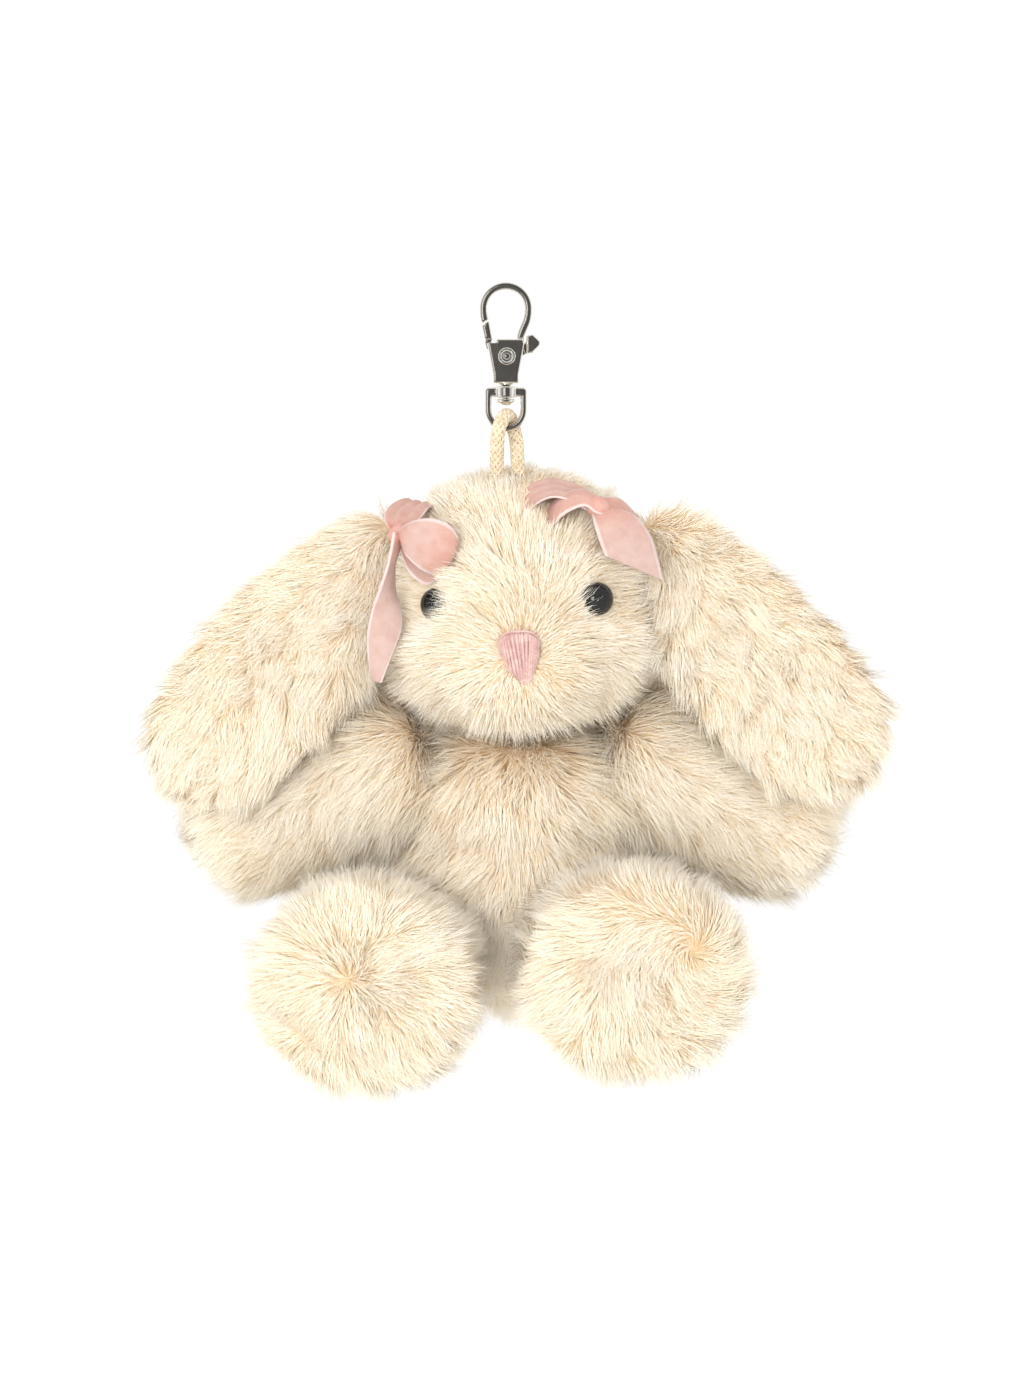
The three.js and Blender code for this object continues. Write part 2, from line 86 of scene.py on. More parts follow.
class Value:
    """One output of a node, on which sums add Math nodes."""

    def __init__(self, tree, socket):
        self.tree = tree
        self.socket = socket

    def math(self, operation, *others):
        inputs = dict(enumerate((self, *others)))
        return self.tree.node("ShaderNodeMath", {"operation": operation}, inputs)[0]

    def __add__(self, other):
        return self.math("ADD", other)

    __radd__ = __add__

    def __sub__(self, other):
        return self.math("SUBTRACT", other)

    def __rsub__(self, other):
        return self.tree.number(other).math("SUBTRACT", self)

    def __mul__(self, other):
        return self.math("MULTIPLY", other)

    __rmul__ = __mul__

    def above(self, other):
        return self.math("GREATER_THAN", other)

    def below(self, other):
        return self.math("LESS_THAN", other)

    def luminance(self):
        return self.tree.node("ShaderNodeRGBToBW", None, {0: self})[0]


class Step:
    """One node; its outputs are read as Values, by name or by place."""

    def __init__(self, tree, node):
        self.tree = tree
        self.node = node

    def __getitem__(self, key):
        if isinstance(key, str):
            found = [s for s in self.node.outputs if s.name == key and s.enabled]
            return Value(self.tree, found[0])
        return Value(self.tree, self.node.outputs[key])


class Tree:
    """A node tree with one way to add a node: its type, its settings, then its inputs."""

    def __init__(self, node_tree):
        self.tree = node_tree

    def node(self, kind, settings=None, inputs=None):
        made = self.tree.nodes.new(kind)
        for name, value in (settings or {}).items():
            if name == "stops":
                self.set_stops(made.color_ramp, value)
            else:
                setattr(made, name, value)
        for key, value in (inputs or {}).items():
            self.feed(self.socket(made, key), value)
        return Step(self, made)

    def number(self, value):
        return self.node("ShaderNodeMath", {"operation": "ADD"}, {0: value, 1: 0.0})[0]

    def socket(self, made, key):
        if isinstance(key, str):
            return [s for s in made.inputs if s.name == key and s.enabled][0]
        return made.inputs[key]

    def feed(self, socket, value):
        if isinstance(value, Step):
            value = value[0]
        if isinstance(value, Value):
            self.tree.links.new(value.socket, socket)
        else:
            socket.default_value = value

    def vector(self, operation, a, b=None, scale=None):
        inputs = {0: a}
        if b is not None:
            inputs[1] = b
        if scale is not None:
            inputs["Scale"] = scale
        return self.node("ShaderNodeVectorMath", {"operation": operation}, inputs)[0]

    @staticmethod
    def set_stops(ramp, stops):
        while len(ramp.elements) < len(stops):
            ramp.elements.new(1.0)
        for element, (place, colour) in zip(ramp.elements, stops):
            element.position = place
            element.color = (*colour, 1.0)


def linear(red, green, blue):
    """A colour given as 0 to 255 screen values, in the linear values that nodes take."""

    def channel(value):
        share = value / 255
        if share <= 0.04045:
            return share / 12.92
        return ((share + 0.055) / 1.055) ** 2.4

    return tuple(channel(value) for value in (red, green, blue))


class Finish(Tree):
    """A material: constants go straight on the shader, and what varies is fed to it."""

    def __init__(self, name, colour, roughness, **constants):
        self.material = bpy.data.materials.new(name)
        self.material.use_nodes = True
        self.material.diffuse_color = (*colour, 1.0)
        super().__init__(self.material.node_tree)
        self.shader = self.tree.nodes["Principled BSDF"]
        self.shader.inputs["Base Color"].default_value = (*colour, 1.0)
        self.shader.inputs["Roughness"].default_value = roughness
        for socket_name, value in constants.items():
            socket = self.shader.inputs[socket_name.replace("_", " ")]
            socket.default_value = (*value, 1.0) if isinstance(value, tuple) else value

    def along(self, attribute):
        return self.node("ShaderNodeAttribute", {"attribute_name": attribute})["Fac"]

    def grain(self, scale, detail=3.0):
        """Fine noise; scale says how many times it changes in a metre."""
        where = self.node("ShaderNodeTexCoord")["Object"]
        inputs = {"Vector": where, "Scale": scale, "Detail": detail, "Roughness": 0.55}
        return self.node("ShaderNodeTexNoise", None, inputs)["Fac"]

    def ramp(self, value, *stops):
        return self.node("ShaderNodeValToRGB", {"stops": stops}, {"Fac": value})["Color"]

    def colour(self, value):
        self.feed(self.shader.inputs["Base Color"], value)

    def roughness(self, value):
        self.feed(self.shader.inputs["Roughness"], value)

    def bump(self, height, strength, depth):
        inputs = {"Height": height, "Strength": strength, "Distance": depth}
        self.feed(self.shader.inputs["Normal"], self.node("ShaderNodeBump", None, inputs)[0])


# ---------------------------------------------------------------- finishes

# Each lot's root tone is warmer and darker than its tip: partly the dye's own tone, partly painted
# shade for the warm shade low in the pile.
PILE_TONES = {
    "pale": ((250, 232, 204), (254, 247, 233)),
    "cream": ((248, 227, 194), (254, 243, 223)),
    "warm": ((246, 219, 178), (252, 238, 212)),
    "amber": ((240, 206, 156), (249, 230, 198)),
}
PILE_PARTS = ("root", "tip")


def pile_finishes():
    """The pile's hairs: four dye lots, each warmer at the root and paler at the tip; the warmer
    root is partly the dye's own tone and partly painted shade, for the warm shade low in the pile.
    """
    finishes = {}
    for lot, tones in PILE_TONES.items():
        for part, tone in zip(PILE_PARTS, tones):
            finish = Finish(
                f"pile_{lot}_{part}",
                linear(*tone),
                0.8,
                Sheen_Weight=0.3,
                Sheen_Roughness=0.5,
                Specular_IOR_Level=0.1,
            )
            finishes[lot, part] = finish.material
    return finishes


def backing_finish():
    """The knitted backing that the pile grows from, seen only where the hairs part; its warm tone
    is partly its own colour and partly painted shade for those creases.
    """
    finish = Finish("pile_backing", linear(244, 214, 172), 0.95, Sheen_Weight=0.2)
    patches = finish.grain(160.0, 4.0)
    finish.colour(
        finish.ramp(patches, (0.3, linear(240, 204, 156)), (0.7, linear(247, 221, 184)))
    )
    finish.bump(finish.grain(1500.0, 2.0), 0.5, 0.2 * MM)
    return finish.material


PILE = pile_finishes()
BACKING = backing_finish()


# ---------------------------------------------------------------- shapes

# The cloth that a stuffed skin is blown up as.
PRESSURE = 4.0
VERTEX_MASS = 0.2
STRETCH = 25
BENDING = 0.6
FRAMES = 10
FARTHEST = 1.0 * MM


def piece(name, mesh, body, slot, *materials):
    made = bpy.data.objects.new(name, mesh)
    collection.objects.link(made)
    for material in materials:
        mesh.materials.append(material)
    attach(made, body)
    return made


def cad_surface(*nodes):
    """The joined triangles of some CAD nodes, for finding places on them."""
    corners, faces = [], []
    for name in nodes:
        mesh = frame["nodes"][name].data
        start = len(corners)
        corners += [vertex.co.copy() for vertex in mesh.vertices]
        faces += [[start + i for i in face.vertices] for face in mesh.polygons]
    return BVHTree.FromPolygons(corners, faces)


def outer_shape(nodes):
    """A closed shape on the outside of some CAD nodes, found by looking in from all round."""
    low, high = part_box(nodes[0])
    centre = (low + high) / 2
    reach = (high - low).length
    surface = cad_surface(*nodes)
    shape = bmesh.new()
    bmesh.ops.create_icosphere(shape, subdivisions=5, radius=1.0)
    for vertex in shape.verts:
        way = vertex.co.normalized()
        hit = surface.ray_cast(centre + way * reach, -way)[0]
        vertex.co = hit if hit is not None else centre
    return shape


def cad_copy(node):
    shape = bmesh.new()
    shape.from_mesh(frame["nodes"][node].data)
    bmesh.ops.remove_doubles(shape, verts=shape.verts, dist=0.002 * MM)
    return shape


def settle(shape, rounds, inset):
    """Evens a shape out and draws its surface in by inset."""
    for _ in range(rounds):
        bmesh.ops.smooth_vert(
            shape, verts=shape.verts, factor=0.5, use_axis_x=True, use_axis_y=True, use_axis_z=True
        )
    shape.normal_update()
    for vertex in shape.verts:
        vertex.co -= vertex.normal * inset


def remeshed(shape, voxel):
    mesh = bpy.data.meshes.new("remesh")
    shape.to_mesh(mesh)
    shape.free()
    holder = bpy.data.objects.new("remesh", mesh)
    collection.objects.link(holder)
    modifier = holder.modifiers.new("even", "REMESH")
    modifier.mode = "VOXEL"
    modifier.voxel_size = voxel
    made = evaluated_mesh(holder)
    bpy.data.objects.remove(holder)
    return made


def rounded(shape, voxel, rounds, inset):
    """A shape remeshed evenly, smoothed and drawn in by inset."""
    made = bmesh.new()
    made.from_mesh(remeshed(shape, voxel))
    settle(made, rounds, inset)
    for face in made.faces:
        face.smooth = True
    return made


def evaluated_mesh(holder):
    graph = bpy.context.evaluated_depsgraph_get()
    graph.update()
    return bpy.data.meshes.new_from_object(holder.evaluated_get(graph), depsgraph=graph)


def blown_up(mesh):
    """The skin as cloth under the push of its filling; no point moves further than FARTHEST."""
    rest = [vertex.co.copy() for vertex in mesh.vertices]
    holder = bpy.data.objects.new("cloth", mesh)
    collection.objects.link(holder)
    cloth = holder.modifiers.new("cloth", "CLOTH")
    settings = cloth.settings
    settings.use_pressure = True
    settings.uniform_pressure_force = PRESSURE
    settings.quality = 4
    settings.mass = VERTEX_MASS
    settings.tension_stiffness = STRETCH
    settings.compression_stiffness = STRETCH
    settings.bending_stiffness = BENDING
    settings.effector_weights.gravity = 0
    cloth.collision_settings.use_collision = False
    cloth.collision_settings.use_self_collision = False
    cloth.point_cache.frame_start = 1
    cloth.point_cache.frame_end = FRAMES
    for number in range(1, FRAMES + 1):
        scene.frame_set(number)
    made = evaluated_mesh(holder)
    scene.frame_set(1)
    bpy.data.objects.remove(holder)
    for vertex, start in zip(made.vertices, rest):
        move = vertex.co - start
        if move.length > FARTHEST:
            vertex.co = start + move * (FARTHEST / move.length)
    return made


# ---------------------------------------------------------------- the pile

STRAY = 0.13  # how far a hair's aim strays from the comb, in each direction
LOT_EDGES = (-9.0, 0.45, 0.68, 0.9, 9.0)  # where each dye lot of PILE_TONES starts and ends
PILE_NAMES = ("rise", "foot", "lot", "reach", "outward", "comb", "cover", "nap", "part")


def hair_shapes(count):
    """Unit hairs, flat and tapered: each rises along Z, leans along X and ends in a point."""
    store = bpy.data.collections.new("hair_shapes")
    draw = random.Random(SEED)
    heights = (0.0, 0.5, 1.0)
    for number in range(count):
        lean = draw.uniform(0.12, 0.42)
        sway = draw.uniform(-0.14, 0.14)
        shape = bmesh.new()
        rise = shape.verts.layers.float.new("rise")
        rows = []
        for height in heights:
            spread = 1.0 - 0.2 * height
            middle = Vector((lean * height**2, sway * height**2, height * (1 - 0.1 * height)))
            sides = (0,) if height == 1.0 else (-spread / 2, spread / 2)
            row = []
            for side in sides:
                vertex = shape.verts.new(middle + Vector((0, side, 0)))
                vertex[rise] = height
                row.append(vertex)
            rows.append(row)
        part = shape.faces.layers.int.new("part")
        for level, (low, high) in enumerate(zip(rows, rows[1:])):
            corners = [low[1], low[0], *high]
            face = shape.faces.new(corners)
            face[part] = level
            face.smooth = True
        mesh = bpy.data.meshes.new(f"hair_{number}")
        shape.to_mesh(mesh)
        shape.free()
        store.objects.link(bpy.data.objects.new(f"hair_{number}", mesh))
    return store


def pile_tree(hairs):
    """Grows hairs on a skin, combed by its "comb", thinned by "cover", shortened by "nap"."""
    group = bpy.data.node_groups.new("pile", "GeometryNodeTree")
    interface = group.interface
    interface.new_socket("Skin", in_out="INPUT", socket_type="NodeSocketGeometry")
    for name, kind, value in (
        ("Hairs per square metre", "NodeSocketFloat", 5e6),
        ("Length", "NodeSocketFloat", 9 * MM),
        ("Width", "NodeSocketFloat", 0.16 * MM),
        ("Lay", "NodeSocketFloat", 0.55),
        ("Tuft size", "NodeSocketFloat", 2.6 * MM),
        ("Tuft pull", "NodeSocketFloat", 0.5),
        ("Tuft stray", "NodeSocketFloat", 2.4 * MM),
        ("Ruffle", "NodeSocketFloat", 2.4 * MM),
        ("Warmth", "NodeSocketFloat", 0.0),
        ("Softness", "NodeSocketFloat", 0.93),
        ("Seed", "NodeSocketInt", SEED),
    ):
        socket = interface.new_socket(name, in_out="INPUT", socket_type=kind)
        socket.default_value = value
    interface.new_socket("Pile", in_out="OUTPUT", socket_type="NodeSocketGeometry")
    tree = Tree(group)
    given = tree.node("NodeGroupInput")

    def attribute(name, kind):
        return tree.node(
            "GeometryNodeInputNamedAttribute", {"data_type": kind}, {"Name": name}
        )["Attribute"]

    def chance(low, high, offset):
        inputs = {2: low, 3: high, "Seed": given["Seed"] + offset}
        return tree.node("FunctionNodeRandomValue", {"data_type": "FLOAT"}, inputs)[1]

    comb = attribute("comb", "FLOAT_VECTOR")
    spread = tree.node(
        "GeometryNodeDistributePointsOnFaces",
        {"distribute_method": "RANDOM"},
        {
            "Mesh": given["Skin"],
            "Density": given["Hairs per square metre"] * attribute("cover", "FLOAT"),
            "Seed": given["Seed"],
        },
    )
    outward = spread["Normal"]
    lift = tree.vector(
        "ADD",
        tree.vector("SCALE", outward, scale=1 - given["Lay"]),
        tree.vector("SCALE", comb, scale=given["Lay"]),
    )
    stray = tree.node(
        "FunctionNodeRandomValue",
        {"data_type": "FLOAT_VECTOR"},
        {0: (-STRAY,) * 3, 1: (STRAY,) * 3, "Seed": given["Seed"] + 3},
    )[0]
    aim = tree.node(
        "FunctionNodeAxesToRotation",
        {"primary_axis": "Z", "secondary_axis": "X"},
        {0: tree.vector("ADD", lift, stray), 1: tree.vector("ADD", comb, stray)},
    )[0]
    roll = tree.node(
        "FunctionNodeAxisAngleToRotation",
        None,
        {"Axis": (0, 0, 1), "Angle": chance(-0.9, 0.9, 5)},
    )[0]
    turn = tree.node(
        "FunctionNodeRotateRotation", {"rotation_space": "LOCAL"}, {0: aim, 1: roll}
    )[0]
    length = given["Length"] * attribute("nap", "FLOAT") * chance(0.72, 1.08, 7)
    width = given["Width"] * chance(0.7, 1.25, 9)
    size = tree.node("ShaderNodeCombineXYZ", None, {0: length, 1: width, 2: length})[0]
    shapes = tree.node(
        "GeometryNodeCollectionInfo",
        None,
        {"Collection": hairs, "Separate Children": True, "Reset Children": True},
    )[0]
    placed = tree.node(
        "GeometryNodeInstanceOnPoints",
        None,
        {
            "Points": spread["Points"],
            "Instance": shapes,
            "Pick Instance": True,
            "Rotation": turn,
            "Scale": size,
        },
    )[0]
    where = tree.node("GeometryNodeInputPosition")[0]
    for name, kind, value in (
        ("foot", "FLOAT_VECTOR", where),
        ("lot", "FLOAT", chance(0.0, 1.0, 11)),
        ("reach", "FLOAT", attribute("nap", "FLOAT")),
        ("outward", "FLOAT_VECTOR", outward),
    ):
        placed = tree.node(
            "GeometryNodeStoreNamedAttribute",
            {"data_type": kind, "domain": "INSTANCE"},
            {"Geometry": placed, "Name": name, "Value": value},
        )[0]
    hair = tree.node("GeometryNodeRealizeInstances", None, {"Geometry": placed})[0]

    foot = attribute("foot", "FLOAT_VECTOR")
    rise = attribute("rise", "FLOAT")
    tufts_per_metre = tree.number(1.0).math("DIVIDE", given["Tuft size"])
    cells = tree.node(
        "ShaderNodeTexVoronoi",
        None,
        {"Vector": foot, "Scale": tufts_per_metre, "Randomness": 1.0},
    )
    inward = tree.vector("SUBTRACT", cells["Position"], foot)
    tuft_way = tree.vector("SUBTRACT", cells["Color"], (0.5, 0.5, 0.5))
    ruffle = tree.node(
        "ShaderNodeTexNoise",
        {"noise_dimensions": "3D"},
        {"Vector": foot, "Scale": 100.0, "Detail": 2.0, "Roughness": 0.6},
    )["Color"]
    ruffle = tree.vector("SUBTRACT", ruffle, (0.5, 0.5, 0.5))
    bend = tree.vector(
        "ADD",
        tree.vector("SCALE", inward, scale=given["Tuft pull"]),
        tree.vector("SCALE", ruffle, scale=given["Ruffle"] * 2.0),
    )
    thrown = tree.vector("SCALE", tuft_way, scale=given["Tuft stray"] * 2.0)
    bend = tree.vector("ADD", bend, thrown)
    gain = rise * rise * attribute("reach", "FLOAT")
    hair = tree.node(
        "GeometryNodeSetPosition",
        None,
        {"Geometry": hair, "Offset": tree.vector("SCALE", bend, scale=gain)},
    )[0]
    part = attribute("part", "INT")
    lot = attribute("lot", "FLOAT")
    patch = tree.node(
        "ShaderNodeTexNoise", None, {"Vector": foot, "Scale": 90.0, "Detail": 1.0}
    )["Fac"]
    # Dye lots and noise patches vary each hair's tone at random; a coat's added shift towards the
    # warmer lots is painted shade, and each hair's root takes its lot's warmer root tone, partly
    # painted shade.
    choice = lot * 0.6 + patch * 0.5 + given["Warmth"]
    for number, kind in enumerate(PILE_TONES):
        in_lot = choice.above(LOT_EDGES[number]) * choice.below(LOT_EDGES[number + 1])
        for level, name in enumerate(PILE_PARTS):
            in_part = part.above(level - 0.5) * part.below(level + 0.5)
            hair = tree.node(
                "GeometryNodeSetMaterial",
                None,
                {"Geometry": hair, "Selection": in_lot * in_part, "Material": PILE[kind, name]},
            )[0]
    normal = tree.node("GeometryNodeInputNormal")[0]
    own = tree.vector("SCALE", normal, scale=1 - given["Softness"])
    shared = tree.vector("SCALE", attribute("outward", "FLOAT_VECTOR"), scale=given["Softness"])
    soft = tree.vector("NORMALIZE", tree.vector("ADD", own, shared))
    hair = tree.node(
        "GeometryNodeSetMeshNormal",
        {"mode": "FREE", "domain": "POINT"},
        {"Mesh": hair, "Custom Normal": soft},
    )[0]
    tree.node("NodeGroupOutput", None, {"Pile": hair})
    return group


HAIRS = hair_shapes(8)
PILE_TREE = pile_tree(HAIRS)


def set_inputs(modifier, group, values):
    sockets = {item.name: item.identifier for item in group.interface.items_tree}
    for name, value in values.items():
        modifier[sockets[name]] = value


def grown(skin, name, body, values):
    """The pile on a skin, as one plain mesh."""
    holder = bpy.data.objects.new("holder", skin.data.copy())
    collection.objects.link(holder)
    modifier = holder.modifiers.new("pile", "NODES")
    modifier.node_group = PILE_TREE
    set_inputs(modifier, PILE_TREE, values)
    mesh = evaluated_mesh(holder)
    bpy.data.objects.remove(holder)
    for name_left in [a.name for a in mesh.attributes]:
        if name_left in PILE_NAMES:
            mesh.attributes.remove(mesh.attributes[name_left])
    return piece(name, mesh, body, "fur")


def write_attribute(mesh, name, kind, values):
    layer = mesh.attributes.new(name, kind, "POINT")
    key = "vector" if kind == "FLOAT_VECTOR" else "value"
    flat = [c for v in values for c in v] if key == "vector" else list(values)
    layer.data.foreach_set(key, flat)


def smoothstep(low, high, value):
    share = min(1.0, max(0.0, (value - low) / (high - low)))
    return share**2 * (3 - 2 * share)


# ---------------------------------------------------------------- swept yarns and ribbons

STRIP_STEPS = 6


def points_of(*corners):
    """Points given in millimetres."""
    return [Vector(corner) * MM for corner in corners]


def smooth_line(points, steps):
    """A line through the points, rounded between them."""
    whole = [points[0] * 2 - points[1], *points, points[-1] * 2 - points[-2]]
    line = []
    for a, b, c, d in zip(whole, whole[1:], whole[2:], whole[3:]):
        for step in range(steps):
            t = step / steps
            slope = (c - a) * t
            bend = (a * 2 - b * 5 + c * 4 - d) * t**2
            twist = (b * 3 - a - c * 3 + d) * t**3
            line.append((b * 2 + slope + bend + twist) * 0.5)
    line.append(points[-1].copy())
    return line


def stations(line):
    """Each point of a line with the way on, two untwisted ways across, and the run so far."""
    made = []
    across = None
    run = 0.0
    for number, point in enumerate(line):
        ahead = line[min(number + 1, len(line) - 1)]
        behind = line[max(number - 1, 0)]
        way = (ahead - behind).normalized()
        across = way.orthogonal() if across is None else across
        across = (across - way * across.dot(way)).normalized()
        if number:
            run += (point - line[number - 1]).length
        made.append((point, way, across, way.cross(across), run))
    return made


def set_uv(face, layer, corners):
    for loop, corner in zip(face.loops, corners):
        loop[layer].uv = corner


def add_yarn(shape, line, radius, sides):
    """A closed round yarn along a line; its UV runs in metres along and in turns around."""
    layer = shape.loops.layers.uv.verify()
    rows = []
    for point, _, across, other, run in stations(line):
        ring = []
        for side in range(sides):
            angle = side * math.tau / sides
            offset = (across * math.cos(angle) + other * math.sin(angle)) * radius
            ring.append(shape.verts.new(point + offset))
        rows.append((ring, run))
    for (low, low_run), (high, high_run) in zip(rows, rows[1:]):
        for side in range(sides):
            after = (side + 1) % sides
            face = shape.faces.new((low[side], low[after], high[after], high[side]))
            near, far = side / sides, (side + 1) / sides
            uv = ((low_run, near), (low_run, far), (high_run, far), (high_run, near))
            set_uv(face, layer, uv)
            face.smooth = True
    shape.faces.new(list(reversed(rows[0][0])))
    shape.faces.new(rows[-1][0])


def add_strip(shape, edges, thickness, cup=0.0, pleats=0, pleat_depth=0.0, across=10):
    """A closed strip between two edges, cupped or pleated; each vertex carries how much painted
    shade it takes where the ribbon folds.
    """
    layer = shape.loops.layers.uv.verify()
    fold = shape.verts.layers.float.get("fold") or shape.verts.layers.float.new("fold")
    left = smooth_line([Vector(edge[0]) * MM for edge in edges], STRIP_STEPS)
    right = smooth_line([Vector(edge[1]) * MM for edge in edges], STRIP_STEPS)
    shade_amounts = smooth_line([Vector((edge[2], 0, 0)) for edge in edges], STRIP_STEPS)
    front, back, runs = [], [], []
    run = 0.0
    facing = None
    for number, (a, b) in enumerate(zip(left, right)):
        ahead = min(number + 1, len(left) - 1)
        behind = max(number - 1, 0)
        way = (left[ahead] + right[ahead]) - (left[behind] + right[behind])
        normal = way.cross(b - a).normalized()
        if facing is None and normal.y > 0 or facing is not None and normal.dot(facing) < 0:
            normal = -normal
        facing = normal
        if number:
            run += ((a + b) / 2 - (left[number - 1] + right[number - 1]) / 2).length
        runs.append(run)
        for rows, side in ((front, 0.5), (back, -0.5)):
            row = []
            for step in range(across + 1):
                share = step / across
                height = cup * math.sin(math.pi * share)
                height += pleat_depth * math.sin(math.tau * pleats * share)
                lifted = normal * (height + thickness * side)
                vertex = shape.verts.new(a.lerp(b, share) + lifted)
                # Painted shade: this station's share of the darker orange-pink that the velvet
                # takes in its folds.
                vertex[fold] = min(1.0, max(0.0, shade_amounts[number].x))
                row.append(vertex)
            rows.append(row)

    def quad(corners, uv):
        face = shape.faces.new(corners)
        set_uv(face, layer, uv)
        face.smooth = True

    last = len(runs) - 1
    for number in range(last):
        u0, u1 = runs[number], runs[number + 1]
        for step in range(across):
            v0, v1 = step / across, (step + 1) / across
            uv = ((u0, v0), (u0, v1), (u1, v1), (u1, v0))
            for rows in (front, back):
                low, high = rows[number], rows[number + 1]
                quad((low[step], low[step + 1], high[step + 1], high[step]), uv)
        for step, v in ((0, 0.0), (across, 1.0)):
            low, high = number, number + 1
            corners = (front[low][step], back[low][step], back[high][step], front[high][step])
            quad(corners, ((u0, v), (u0, v), (u1, v), (u1, v)))
    for number in (0, last):
        for step in range(across):
            v0, v1 = step / across, (step + 1) / across
            row, under = front[number], back[number]
            corners = (row[step], row[step + 1], under[step + 1], under[step])
            quad(corners, ((runs[number], v0), (runs[number], v1)) * 2)
    return run


def finished(shape, name):
    """A mesh of a shape, with every closed part of it facing outwards."""
    bmesh.ops.recalc_face_normals(shape, faces=shape.faces)
    mesh = bpy.data.meshes.new(name)
    shape.to_mesh(mesh)
    shape.free()
    return mesh


# ---------------------------------------------------------------- the bows

RIBBON_THICK = 0.45 * MM

# Each strip of a bow is stations of (one edge, other edge, how much painted shade it takes where
# the ribbon folds), in millimetres.
BOWS = {
    "left": {
        "band": [
            ((-23.4, -12.0, -50.2), (-20.4, -14.0, -50.8), 0.7),
            ((-25.2, -9.5, -47.4), (-18.8, -13.5, -48.6), 0.35),
            ((-24.2, -6.0, -45.0), (-17.2, -11.5, -46.6), 0.2),
            ((-21.0, -2.5, -43.8), (-15.4, -8.0, -44.6), 0.2),
            ((-18.0, 2.5, -46.6), (-13.6, -2.4, -46.2), 0.4),
        ],
        "loop": [
            ((-22.2, -15.0, -49.4), (-21.6, -16.0, -51.2), 0.5),
            ((-18.6, -18.2, -47.2), (-20.6, -17.4, -54.2), 0.1),
            ((-14.8, -19.6, -46.8), (-18.2, -17.2, -56.8), 0.12),
            ((-11.4, -19.4, -48.2), (-15.9, -16.2, -58.2), 0.3),
            ((-9.7, -17.6, -50.8), (-13.6, -15.4, -58.6), 0.3),
            ((-10.2, -15.2, -51.8), (-14.4, -14.4, -59.8), 0.2),
            ((-13.6, -14.0, -51.0), (-16.8, -15.2, -60.6), 0.1),
            ((-17.4, -13.8, -50.2), (-20.0, -15.6, -58.0), 0.1),
            ((-20.8, -13.6, -49.8), (-21.8, -14.8, -53.6), 0.4),
        ],
        "tail": [
            ((-23.0, -18.2, -49.6), (-21.2, -12.6, -50.0), 0.5),
            ((-23.6, -18.4, -53.4), (-21.9, -11.8, -53.2), 0.4),
            ((-24.5, -17.8, -57.2), (-23.0, -11.0, -57.1), 0.15),
            ((-26.0, -17.0, -61.4), (-22.8, -12.0, -62.0), 0.05),
            ((-27.6, -15.8, -65.8), (-21.6, -13.6, -66.0), 0.0),
            ((-28.6, -15.2, -71.0), (-21.6, -14.6, -70.2), 0.0),
            ((-28.4, -15.0, -76.0), (-23.4, -15.4, -75.0), 0.0),
            ((-27.6, -14.6, -80.4), (-25.6, -16.6, -80.8), 0.0),
        ],
        "knot": (-21.9, -13.9, -50.4),
    },
    "right": {
        "band": [
            ((19.6, -9.0, -43.6), (18.0, -12.5, -46.0), 0.7),
            ((15.5, -4.5, -41.0), (13.5, -12.8, -43.4), 0.2),
            ((10.0, -3.0, -39.4), (9.5, -12.4, -42.6), 0.15),
            ((5.6, -4.0, -40.4), (5.8, -12.2, -44.4), 0.2),
            ((2.8, -5.0, -43.4), (3.6, -10.4, -47.4), 0.45),
        ],
        "loop": [
            ((8.6, -8.0, -45.0), (9.2, -12.2, -50.0), 0.3),
            ((11.4, -9.0, -42.4), (11.6, -14.8, -46.4), 0.3),
            ((15.8, -9.5, -41.2), (16.0, -14.8, -44.4), 0.35),
            ((19.2, -11.0, -42.8), (18.8, -14.4, -46.0), 0.5),
            ((23.4, -6.5, -43.2), (22.2, -12.0, -46.8), 0.4),
            ((27.4, -2.5, -47.0), (26.0, -8.5, -50.2), 0.2),
        ],
        "tail": [
            ((17.6, -12.5, -45.4), (20.8, -12.0, -44.8), 0.5),
            ((18.0, -14.8, -47.6), (26.4, -12.6, -46.4), 0.25),
            ((18.8, -16.0, -50.2), (29.8, -13.6, -50.6), 0.1),
            ((19.6, -16.4, -52.6), (31.2, -14.2, -54.8), 0.0),
            ((20.4, -16.2, -54.6), (32.4, -14.6, -59.8), 0.0),
        ],
        "knot": (19.0, -12.6, -44.8),
    },
}


